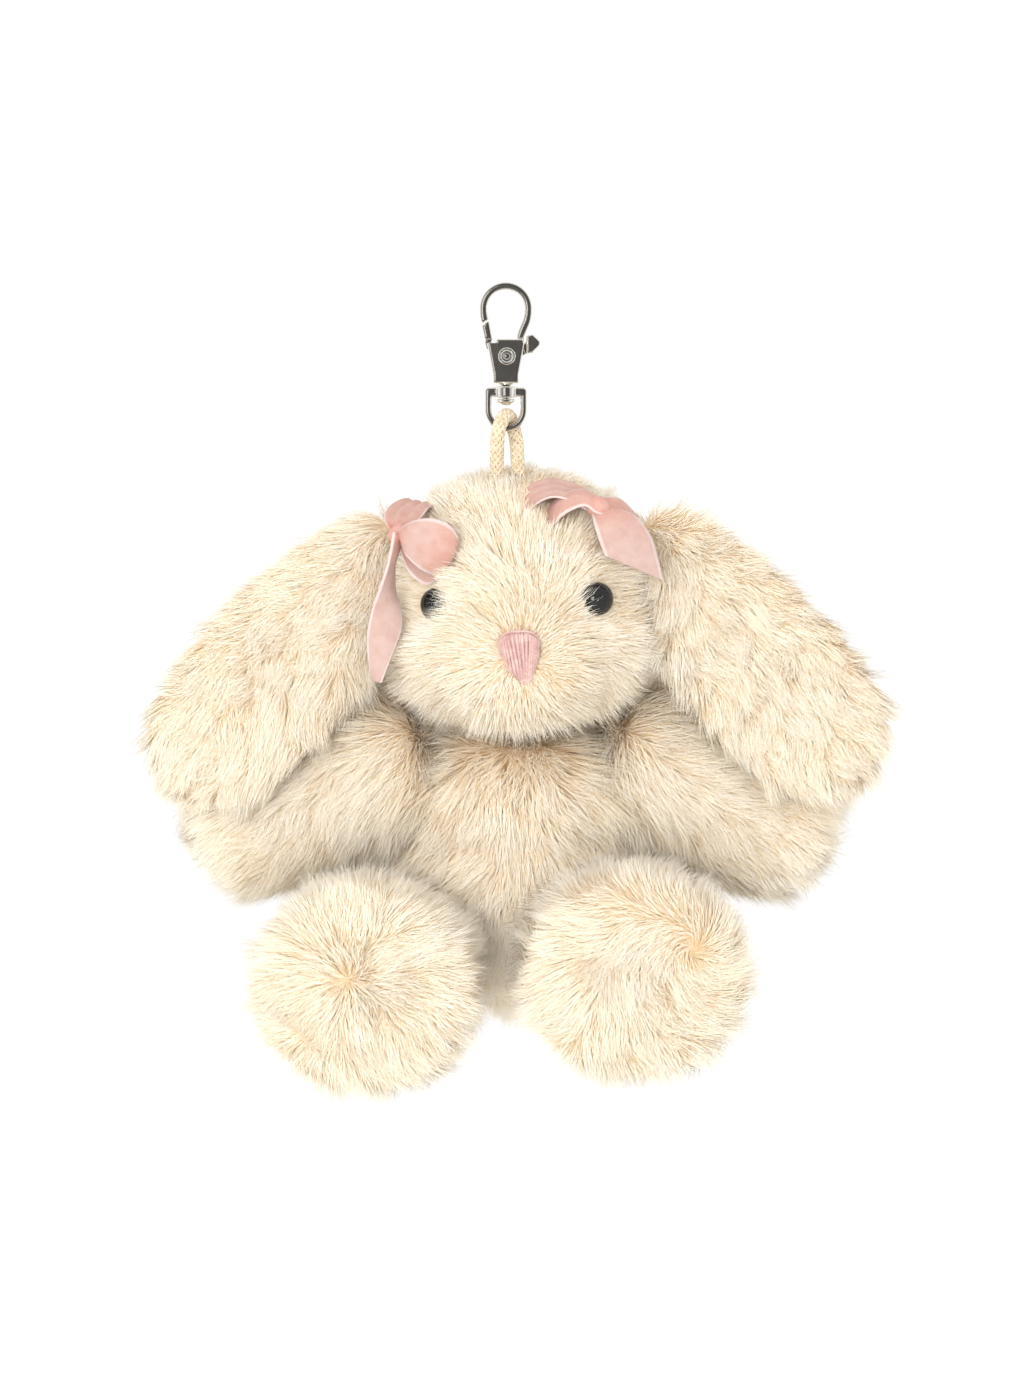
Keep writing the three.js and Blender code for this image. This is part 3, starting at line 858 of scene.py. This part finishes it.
def velvet_finish():
    """Pale pink velvet: paler woven edges, and painted shade, a darker orange-pink, where the
    ribbon folds on itself.
    """
    finish = Finish(
        "pink_velvet",
        linear(238, 198, 186),
        0.85,
        Sheen_Weight=0.35,
        Sheen_Roughness=0.35,
        Sheen_Tint=(1.0, 0.9, 0.86),
        Specular_IOR_Level=0.2,
    )
    place = finish.node("ShaderNodeUVMap")[0]
    parts = finish.node("ShaderNodeSeparateXYZ", None, {0: place})
    from_middle = (parts[1] - 0.5).math("ABSOLUTE") * 2
    edge = finish.ramp(from_middle, (0.86, (0, 0, 0)), (0.93, (1, 1, 1)))
    brushed = finish.grain(420.0, 4.0)
    pile = finish.ramp(brushed, (0.3, linear(188, 157, 146)), (0.7, linear(198, 171, 161)))
    # Painted shade: the darker orange-pink that the velvet takes in its folds and in the knot.
    painted_crease_shade = finish.ramp(brushed, (0.3, linear(214, 134, 114)), (0.7, linear(220, 152, 134)))
    velvet_with_shade = finish.node(
        "ShaderNodeMix",
        {"data_type": "RGBA"},
        {"Factor": finish.along("fold"), "A": pile, "B": painted_crease_shade},
    )["Result"]
    woven = finish.ramp(brushed, (0.3, linear(212, 190, 184)), (0.7, linear(222, 204, 198)))
    whole = finish.node(
        "ShaderNodeMix", {"data_type": "RGBA"}, {"Factor": edge, "A": velvet_with_shade, "B": woven}
    )["Result"]
    finish.colour(whole)
    nap = finish.grain(2600.0, 3.0)
    picks = (parts[0] * (math.tau / (0.45 * MM))).math("SINE") * edge.luminance()
    finish.bump(nap + picks * 0.3, 0.35, 0.12 * MM)
    return finish.material


def wrapped_knot(shape, centre, radius, height):
    """The ribbon's tight turn round the middle of a bow, in soft pleats."""
    layer = shape.loops.layers.uv.verify()
    fold = shape.verts.layers.float.get("fold")
    middle_point = Vector(centre) * MM
    rings, around = 9, 24
    rows = []
    for ring in range(rings):
        share = ring / (rings - 1)
        angle = math.pi * share
        row = []
        for step in range(around):
            turn = step * math.tau / around
            pleat = 1 + 0.07 * math.cos(turn * 5 + share * 2)
            reach = radius * pleat * (0.25 + 0.75 * math.sin(angle)) * MM
            offset = Vector((math.cos(turn) * reach, math.sin(turn) * reach * 0.8, 0))
            offset.z = height * MM * (0.5 - share)
            vertex = shape.verts.new(middle_point + offset)
            # Painted shade over the knot, strongest at its top and bottom where it tucks under.
            vertex[fold] = 0.35 + 0.4 * abs(share - 0.5)
            row.append(vertex)
        rows.append(row)
    for low, high in zip(rows, rows[1:]):
        for step in range(around):
            after = (step + 1) % around
            face = shape.faces.new((low[step], low[after], high[after], high[step]))
            set_uv(face, layer, ((step * MM, 0.4), (step * MM, 0.6)) * 2)
            face.smooth = True
    shape.faces.new(rows[0])
    shape.faces.new(list(reversed(rows[-1])))


def make_bow(side, velvet):
    """One ribbon, tied: a gathered band, a loop, a cut tail and the knot that holds them."""
    design = BOWS[side]
    shape = bmesh.new()
    run = add_strip(shape, design["band"], RIBBON_THICK, pleats=3, pleat_depth=0.4 * MM, across=24)
    run += add_strip(shape, design["loop"], RIBBON_THICK, cup=0.7 * MM)
    run += add_strip(shape, design["tail"], RIBBON_THICK, cup=0.5 * MM)
    wrapped_knot(shape, design["knot"], 2.4, 4.6)
    made = piece(f"{side}_bow", finished(shape, f"{side}_bow"), "head", "velvet", velvet)
    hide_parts(*(f"{side}_bow_{part}" for part in ("band", "knot", "loop", "tail")))
    return made


# ---------------------------------------------------------------- the cord loop

CORD_YARNS = 12
CORD_PITCH = 9.0 * MM
CORD_LINE = points_of(
    (-1.9, 0.0, -47),
    (-1.9, -0.9, -38),
    (-1.8, -2.4, -32),
    (-1.5, -2.95, -29),
    (-0.8, -2.2, -27),
    (0.1, 0.0, -26.1),
    (1.0, 2.2, -27),
    (1.6, 2.95, -29),
    (2.2, 2.4, -32),
    (2.5, 0.9, -38),
    (2.5, 0.0, -47),
)


def cord_finish():
    finish = Finish("cotton_cord", linear(233, 216, 186), 0.88, Sheen_Weight=0.25)
    place = finish.node("ShaderNodeUVMap")[0]
    parts = finish.node("ShaderNodeSeparateXYZ", None, {0: place})
    plies = (parts[0] * (math.tau / (0.55 * MM)) + parts[1] * (math.tau * 2)).math("SINE")
    worn = finish.grain(900.0, 3.0)
    finish.colour(
        finish.ramp(
            worn + plies * 0.08,
            (0.22, linear(196, 172, 136)),
            (0.45, linear(226, 208, 178)),
            (0.75, linear(236, 222, 198)),
        )
    )
    finish.bump(plies * 0.5 + finish.grain(4000.0, 2.0), 0.6, 0.08 * MM)
    return finish.material


def braided_cord(finish):
    """Twelve yarns plaited over and under each other round a core."""
    line = smooth_line(CORD_LINE, 18)
    shape = bmesh.new()
    add_yarn(shape, line, 1.05 * MM, 10)
    half = CORD_YARNS // 2
    for number in range(CORD_YARNS):
        sense = 1 if number % 2 else -1
        start = (number // 2) * math.tau / half
        yarn = []
        for point, _, across, other, run in stations(line):
            turn = start + sense * math.tau * run / CORD_PITCH
            reach = 1.1 * MM + sense * 0.13 * MM * math.cos(half * math.tau * run / CORD_PITCH)
            yarn.append(point + (across * math.cos(turn) + other * math.sin(turn)) * reach)
        add_yarn(shape, yarn, 0.36 * MM, 5)
    made = piece("cord_braid", finished(shape, "cord_braid"), "head", "cord", finish)
    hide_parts("cord_loop")
    spine = smooth_line(CORD_LINE, 3)
    length = sum((b - a).length for a, b in zip(spine, spine[1:]))


# ---------------------------------------------------------------- the nose


def thread_finish():
    finish = Finish(
        "nose_thread", linear(228, 182, 182), 0.42, Sheen_Weight=0.3, Specular_IOR_Level=0.45
    )
    place = finish.node("ShaderNodeUVMap")[0]
    parts = finish.node("ShaderNodeSeparateXYZ", None, {0: place})
    twist = (parts[0] * (math.tau / (0.8 * MM)) + parts[1] * math.tau).math("SINE")
    finish.colour(
        finish.ramp(
            finish.grain(500.0, 2.0) + twist * 0.03,
            (0.25, linear(192, 147, 143)),
            (0.5, linear(208, 169, 161)),
            (0.78, linear(224, 196, 187)),
        )
    )
    finish.bump(twist, 0.5, 0.06 * MM)
    return finish.material


NOSE_THREADS = 27


def stitched_nose(finish):
    """Satin stitches that fan from the wide top of the nose to its tip, over a small pad."""
    front = -24.4
    top = points_of(
        (-1.2, front + 1.8, -71.7),
        (0.6, front, -70.3),
        (4.8, front, -70.2),
        (6.6, front + 1.8, -71.5),
    )
    foot = points_of(
        (-0.7, front + 2.2, -74.6),
        (0.9, front + 2.0, -78.0),
        (3.2, front + 2.4, -80.2),
        (4.2, front + 2.6, -80.7),
        (5.2, front + 2.4, -79.6),
        (6.5, front + 2.0, -75.4),
    )
    tops, feet = smooth_line(top, 24), smooth_line(foot, 24)
    shape = bmesh.new()
    for number in range(NOSE_THREADS):
        share = number / (NOSE_THREADS - 1)
        high = tops[round(share * (len(tops) - 1))]
        low = feet[round(share * (len(feet) - 1))]
        swell = 1.5 * MM * (0.7 + 0.3 * math.sin(math.pi * share))
        under = 0.4 * MM * (number % 2)
        belly = high.lerp(low, 0.5) + Vector((0, under - swell, 0))
        shoulder = high.lerp(low, 0.08) + Vector((0, under - 0.6 * swell, 0))
        toe = high.lerp(low, 0.93) + Vector((0, under - 0.5 * swell, 0))
        inner_high = high + Vector((0, 2.4 * MM, 0.2 * MM))
        inner_low = low + Vector((0, 1.6 * MM, 0.1 * MM))
        line = smooth_line([inner_high, shoulder, belly, toe, inner_low], 6)
        add_yarn(shape, line, 0.33 * MM, 7)
    lip = [p + Vector((0, 0.2 * MM, 0.5 * MM)) for p in tops[::6]]
    add_yarn(shape, smooth_line(lip, 3), 0.22 * MM, 6)
    mesh = finished(shape, "nose_stitches")
    made = piece("nose_stitches", mesh, "head", "thread", finish)
    pad = finished(rounded(cad_copy("nose_stitching"), 0.4 * MM, 6, 0.9 * MM), "nose_pad")
    pad.uv_layers.new(name="UVMap")
    piece("nose_pad", pad, "head", "thread", finish)
    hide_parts("nose_stitching")


# ---------------------------------------------------------------- the eyes


def bead_finish():
    finish = Finish(
        "black_bead",
        linear(9, 9, 10),
        0.1,
        Specular_IOR_Level=0.42,
    )
    haze = finish.grain(260.0, 3.0)
    finish.roughness(haze * 0.1 + 0.04)
    return finish.material


EYE_CENTRES = {
    "left": Vector((-14.4, -12.6, -64.9)) * MM,
    "right": Vector((18.9, -14.6, -63.6)) * MM,
}
EYE_RADIUS = 3.5 * MM


def eye_aim(side):
    """Forwards, and a little out and up with the curve of the face."""
    centre = EYE_CENTRES[side] / MM
    return Vector(((centre.x - 2.6) * 0.045, -1, (centre.z + 66) * 0.02)).normalized()


def bead_eye(side, finish):
    """A domed bead with a rounded rim on its shank."""
    profile = [(0.0, -10 * MM), (1.1 * MM, -10 * MM), (1.1 * MM, -1.4 * MM), (2.7 * MM, -1.35 * MM)]
    profile += [(3.25 * MM, -1.1 * MM), (3.46 * MM, -0.6 * MM)]
    for step in range(13):
        angle = step / 12 * math.pi / 2
        profile.append((EYE_RADIUS * math.cos(angle), 0.85 * EYE_RADIUS * math.sin(angle)))
    around = 40
    turn = Z.rotation_difference(eye_aim(side)).to_matrix()
    shape = bmesh.new()
    rows = []
    for radius, height in profile:
        count = 1 if radius < 1e-6 else around
        ring = []
        for step in range(count):
            angle = step * math.tau / around
            local = Vector((radius * math.cos(angle), radius * math.sin(angle), height))
            ring.append(shape.verts.new(EYE_CENTRES[side] + turn @ local))
        rows.append(ring)
    for low, high in zip(rows, rows[1:]):
        for step in range(around):
            after = (step + 1) % around
            corners = [low[step % len(low)], low[after % len(low)]]
            corners += [high[after % len(high)], high[step % len(high)]]
            face = shape.faces.new(list(dict.fromkeys(corners)))
            face.smooth = True
    made = piece(f"{side}_bead_eye", finished(shape, f"{side}_bead_eye"), "head", "bead", finish)
    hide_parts(f"{side}_eye")


# ---------------------------------------------------------------- the hardware


def nickel_finish():
    """Bright nickel with a painted reflection: darker on the faces that look to the front and the
    back, as a dark studio would show in them, and brighter towards the edges.
    """
    finish = Finish("bright_nickel", (0.56, 0.55, 0.53), 0.16, Metallic=1.0)
    smear = finish.grain(240.0, 4.0)
    finish.roughness(smear * 0.16 + 0.07)
    # Painted reflection: the colour darkens as a face turns to the front or the back.
    facing = finish.node("ShaderNodeTexCoord")["Normal"]
    parts = finish.node("ShaderNodeSeparateXYZ", None, {0: facing})
    painted_reflection_mask = parts[1].math("ABSOLUTE") + finish.grain(90.0, 5.0) * 0.06
    finish.colour(
        finish.ramp(
            painted_reflection_mask,
            (0.82, (0.84, 0.81, 0.76)),
            (0.93, (0.36, 0.34, 0.31)),
            (0.99, (0.07, 0.066, 0.06)),
        )
    )
    finish.bump(finish.grain(520.0, 2.0), 0.25, 0.1 * MM)
    return finish.material


CAST_VOXEL = 0.17 * MM


def cast_piece(node, body, finish):
    """A cast and plated part: its CAD form with every edge rounded over."""
    shape = rounded(cad_copy(node), CAST_VOXEL, 3, -0.03 * MM)
    made = piece(f"{node}_cast", finished(shape, f"{node}_cast"), body, "nickel", finish)
    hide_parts(node)


HARDWARE = {
    "hook_body": "clasp",
    "trigger_rivet": "clasp",
    "stud_head": "clasp",
    "trigger_lever": "trigger",
    "swivel_ring": "ring",
}


def washer_finish():
    """The plastic of the washers inside the head, which keep their CAD forms."""
    washer = Finish("washer_plastic", linear(232, 232, 228), 0.45)
    washer.colour(
        washer.ramp(washer.grain(300.0), (0.3, linear(224, 224, 220)), (0.7, linear(238, 238, 235)))
    )
    washer.bump(washer.grain(900.0), 0.2, 0.05 * MM)
    return washer.material


# ---------------------------------------------------------------- the furry parts


def middle(node, share):
    low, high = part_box(node)
    return Vector(low[i] + (high[i] - low[i]) * share[i] for i in range(3))


NOSE = Vector((2.9, -23.0, -75.6)) * MM
CORD_ENTRY = Vector((0.3, -2.0, -40.0)) * MM
NECK = Vector((2.6, 6.0, -93.0)) * MM


def face_nap(point):
    """Short round the cord, the eyes and the nose; the left eye peeps from longer pile."""
    nap = 0.38 + 0.42 * smoothstep(4 * MM, 16 * MM, (point - CORD_ENTRY).length)
    nap += 0.25 * smoothstep(-55 * MM, -72 * MM, point.z)
    for side, least in (("left", 0.5), ("right", 0.38)):
        gap = (point - EYE_CENTRES[side]).length
        nap = min(nap, least + (1 - least) * smoothstep(3.4 * MM, 9 * MM, gap))
    to_nose = (point - NOSE).length
    return min(nap, 0.4 + 0.65 * smoothstep(5.0 * MM, 14 * MM, to_nose))


def neck_nap(point):
    """Longer where the body, the arms, the ears and the head meet."""
    return 1.5 - 0.5 * smoothstep(22 * MM, 48 * MM, (point - NECK).length)


# No pile grows nearer than this to the middle of each eye.
BARE = {"left": 2.3 * MM, "right": 3.3 * MM}


def face_cover(point):
    """No pile under the stitches or the beads, though some veils the left one."""
    for side, radius in BARE.items():
        if (point - EYE_CENTRES[side]).length < radius:
            return 0.0
    return 0.0 if (point - NOSE).length < 3.5 * MM else 1.0


def always(_point):
    return 1.0


def furry(body, nodes, start, drift, length, **others):
    """How one furry part is dressed: where its pile parts, how it drifts and how long it is."""
    design = {"body": body, "nodes": nodes, "start": start, "length": length}
    design.update(drift=Vector(drift), nap=always, cover=always, density=6.5e6)
    design.update(swirl=0.8, parting=0.0, tuft=4.2, lay=0.58, inset=0.5, ruffle=2.4)
    design.update(others)
    return design


PARTS = {
    "head": furry(
        "head",
        ("head_skin", "head_filling"),
        NOSE,
        (0, 0.15, -0.2),
        10.0,
        nap=face_nap,
        cover=face_cover,
        lay=0.52,
        swirl=0.7,
        density=6.8e6,
        tuft=3.4,
    ),
    "torso": furry(
        "torso",
        ("torso_skin", "torso_filling"),
        middle("torso_skin", (0.5, 0.0, 1.0)) + Z * 25 * MM,
        (0, 0, -0.8),
        9.0,
        nap=neck_nap,
        inset=-0.3,
        parting=0.45,
        density=5.6e6,
    ),
    "tail": furry("torso", ("tail",), middle("tail", (0.5, 1.0, 0.5)), (0, 0, -0.3), 8.0),
}
for side, out in (("left", -1), ("right", 1)):
    root = 1.0 if out < 0 else 0.0
    PARTS[f"{side}_ear"] = furry(
        f"ear_{side}",
        (f"{side}_ear",),
        middle(f"{side}_ear", (root, 0.5, 1.0)),
        (out * 0.5, 0, -0.8),
        8.5,
        density=8e6,
        swirl=1.15,
        ruffle=3.4,
        tuft=5.0,
        nap=neck_nap,
    )
    PARTS[f"{side}_arm"] = furry(
        f"arm_{side}",
        (f"{side}_arm",),
        middle(f"{side}_arm", (root, 0.5, 0.8)),
        (out * 0.5, 0, -0.5),
        10.0,
        nap=neck_nap,
        inset=0.0,
        density=7e6,
    )
    PARTS[f"{side}_leg"] = furry(
        f"leg_{side}",
        (f"{side}_leg",),
        middle(f"{side}_leg", (0.45, 0.08, 0.58)),
        (0, 0.1, -0.15),
        9.0,
        swirl=1.5,
        lay=0.56,
        ruffle=3.2,
        density=7e6,
    )

VOXEL = 1.3 * MM
PRESSED = 13 * MM  # a bow shortens the pile below it within this distance
LEAST_NAP = 0.12
TOUCHING = 0.8 * MM  # no pile grows where another skin is nearer than this
SWIRLS_PER_METRE = 50
START_LEAN = 0.55  # how far the pile leans where it parts
START_COVER = 1.9  # how much more grows there


def make_skins():
    skins = {}
    for name, part in PARTS.items():
        if len(part["nodes"]) > 1:
            shape = outer_shape(part["nodes"])
        else:
            shape = cad_copy(part["nodes"][0])
        shape = rounded(shape, VOXEL, 5, part["inset"] * MM)
        mesh = bpy.data.meshes.new("skin")
        shape.to_mesh(mesh)
        shape.free()
        skin = piece(f"{name}_stuffed_skin", blown_up(mesh), part["body"], "fur", BACKING)
        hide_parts(*part["nodes"])
        skins[name] = skin
    return skins


def tree_of(mesh):
    return BVHTree.FromPolygons(
        [v.co.copy() for v in mesh.vertices], [list(p.vertices) for p in mesh.polygons]
    )


def comb_way(part, vertex):
    """Which way the pile is combed at a point of a skin: it stands up where the pile parts."""
    away = vertex.co - part["start"]
    leaning = START_LEAN + (1 - START_LEAN) * smoothstep(2 * MM, 11 * MM, away.length)
    away.normalize()
    swirl = noise.noise_vector(vertex.co * SWIRLS_PER_METRE) * part["swirl"]
    aside = part["parting"] * math.tanh((vertex.co.x - part["start"].x) / (6 * MM))
    way = away + part["drift"] + swirl + X * aside
    way -= vertex.normal * way.dot(vertex.normal)
    return way.normalized() * leaning if way.length > 1e-6 else Z * 0.1


def comb_skins(skins, pressing):
    """Writes each skin's comb, nap and cover. Pile is short under what presses on it, and none
    grows where two skins touch."""
    trees = {name: tree_of(skin.data) for name, skin in skins.items()}
    weights = [tree_of(made.data) for made in pressing]
    for name, skin in skins.items():
        part = PARTS[name]
        others = [tree for other, tree in trees.items() if other != name]
        combs, naps, covers = [], [], []
        for vertex in skin.data.vertices:
            nap = part["nap"](vertex.co)
            cover = part["cover"](vertex.co)
            if name == "head":
                for tree in weights:
                    above, _, _, gap = tree.ray_cast(vertex.co, vertex.normal, PRESSED)
                    if above is None:
                        gap = tree.find_nearest(vertex.co)[3] * 2.6
                    nap = min(nap, max(LEAST_NAP, gap * 0.8 / (part["length"] * MM)))
            for tree in others:
                near, near_normal, _, gap = tree.find_nearest(vertex.co, 6 * MM)
                if near is None:
                    continue
                inside = (vertex.co - near).dot(near_normal) < 0
                if inside or gap < TOUCHING:
                    cover = 0.0
            from_start = (vertex.co - part["start"]).length
            cover *= START_COVER - (START_COVER - 1) * smoothstep(1 * MM, 8 * MM, from_start)
            combs.append(comb_way(part, vertex))
            naps.append(nap)
            covers.append(cover)
        write_attribute(skin.data, "comb", "FLOAT_VECTOR", combs)
        write_attribute(skin.data, "nap", "FLOAT", naps)
        write_attribute(skin.data, "cover", "FLOAT", covers)


# ---------------------------------------------------------------- putting the toy together

VELVET = velvet_finish()
COTTON = cord_finish()
THREAD = thread_finish()
BEAD = bead_finish()
NICKEL = nickel_finish()
WASHER = washer_finish()

bows = [make_bow(side, VELVET) for side in BOWS]
braided_cord(COTTON)
stitched_nose(THREAD)
for side in EYE_CENTRES:
    bead_eye(side, BEAD)
for node, body in HARDWARE.items():
    cast_piece(node, body, NICKEL)
for node, material in (
    ("trigger_spring", NICKEL),
    ("cord_knot", COTTON),
    ("left_eye_washer", WASHER),
    ("right_eye_washer", WASHER),
):
    frame["nodes"][node].data.materials.clear()
    frame["nodes"][node].data.materials.append(material)

skins = make_skins()
comb_skins(skins, bows)
# The underfur is shifted towards the warmer lots as painted shade, standing in for the shade
# between the guard hairs; the guard hair keeps its lots' own tones.
COATS = {
    "underfur": {"thick": 0.6, "long": 0.66, "Width": 0.18 * MM, "Warmth": 0.22, "stray": 0.5},
    "guard_hair": {"thick": 1.0, "long": 1.0, "Width": 0.13 * MM, "Warmth": 0.0, "stray": 1.0},
}
for number, (name, skin) in enumerate(skins.items()):
    part = PARTS[name]
    for layer, (coat, make) in enumerate(COATS.items()):
        grown(
            skin,
            f"{name}_{coat}",
            part["body"],
            {
                "Hairs per square metre": part["density"] * make["thick"],
                "Length": part["length"] * make["long"] * MM,
                "Lay": part["lay"],
                "Width": make["Width"],
                "Tuft size": part["tuft"] * MM,
                "Tuft pull": 0.4 * make["stray"],
                "Tuft stray": 1.6 * make["stray"] * MM,
                "Ruffle": part["ruffle"] * MM,
                "Warmth": make["Warmth"],
                "Seed": SEED + number * 40 + layer * 20,
            },
        )
    for attribute_name in ("comb", "nap", "cover"):
        skin.data.attributes.remove(skin.data.attributes[attribute_name])

# ---------------------------------------------------------------- stage, lights and camera


FLOOR_DROP = 150 * MM
FLOOR_RADIUS = 4.0
SKY_STRENGTH = 1.06
VIEW_HEIGHT = 0.2894
LENS = 110.0
SENSOR = 36.0
ELEVATION = math.radians(5)
TARGET = Vector((0.0021, 0.0, -0.0835))
WARM_BOUNCE = (1.0, 0.92, 0.79)


def stage():
    """A pale paper floor, well under the hanging toy."""
    floor_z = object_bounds()[0][2] - FLOOR_DROP
    shape = bmesh.new()
    bmesh.ops.create_circle(shape, cap_ends=True, segments=96, radius=FLOOR_RADIUS)
    bmesh.ops.translate(shape, verts=shape.verts, vec=Z * floor_z)
    mesh = bpy.data.meshes.new("studio_floor")
    shape.to_mesh(mesh)
    shape.free()
    floor = bpy.data.objects.new("studio_floor", mesh)
    collection.objects.link(floor)
    paper = Finish("studio_paper", (0.96, 0.96, 0.96), 0.9)
    mesh.materials.append(paper.material)
    floor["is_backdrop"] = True


def softbox(name, place, aim, size, power, mirrored=True, tint=(1, 1, 1)):
    """A rectangular light; one that isn't mirrored leaves no glint on beads and metal."""
    data = bpy.data.lights.new(name, "AREA")
    data.shape = "RECTANGLE"
    data.size, data.size_y = size
    data.energy = power
    data.color = tint
    light = bpy.data.objects.new(name, data)
    light.location = place
    light.rotation_euler = (Vector(aim) - Vector(place)).to_track_quat("-Z", "Y").to_euler()
    light.visible_glossy = mirrored
    collection.objects.link(light)


def camera():
    """Looks straight at the toy from a little above, far enough away to see VIEW_HEIGHT."""
    data = bpy.data.cameras.new("camera")
    data.lens = LENS
    data.sensor_width = SENSOR
    eye = bpy.data.objects.new("camera", data)
    away = Vector((0, -math.cos(ELEVATION), math.sin(ELEVATION)))
    eye.location = TARGET + VIEW_HEIGHT * LENS / SENSOR * away
    eye.rotation_euler = (TARGET - eye.location).to_track_quat("-Z", "Y").to_euler()
    collection.objects.link(eye)
    scene.camera = eye


def world():
    """Even white light from all round."""
    sky = bpy.data.worlds.new("studio")
    scene.world = sky
    sky.use_nodes = True
    shade = sky.node_tree.nodes["Background"]
    shade.inputs["Color"].default_value = (1, 1, 1, 1)
    shade.inputs["Strength"].default_value = SKY_STRENGTH


stage()
softbox("glint", (-0.3, -0.95, 0.06), (0, 0, -0.07), (0.38, 0.38), 4.5)
softbox("strip_left", (-0.55, -0.75, 0.0), (0, 0, -0.02), (0.07, 0.5), 0.12)
softbox("strip_right", (0.7, -0.6, 0.05), (0, 0, -0.02), (0.07, 0.5), 0.12)
softbox("front", (0.3, -1.2, -0.15), (0, 0, -0.13), (1.2, 1.0), 2.5, mirrored=False)
softbox(
    "low", (0.1, -0.7, -0.9), (0, 0, -0.12), (1.0, 0.6), 8.5, mirrored=False, tint=WARM_BOUNCE
)
camera()
world()
scene.view_settings.view_transform = "Standard"
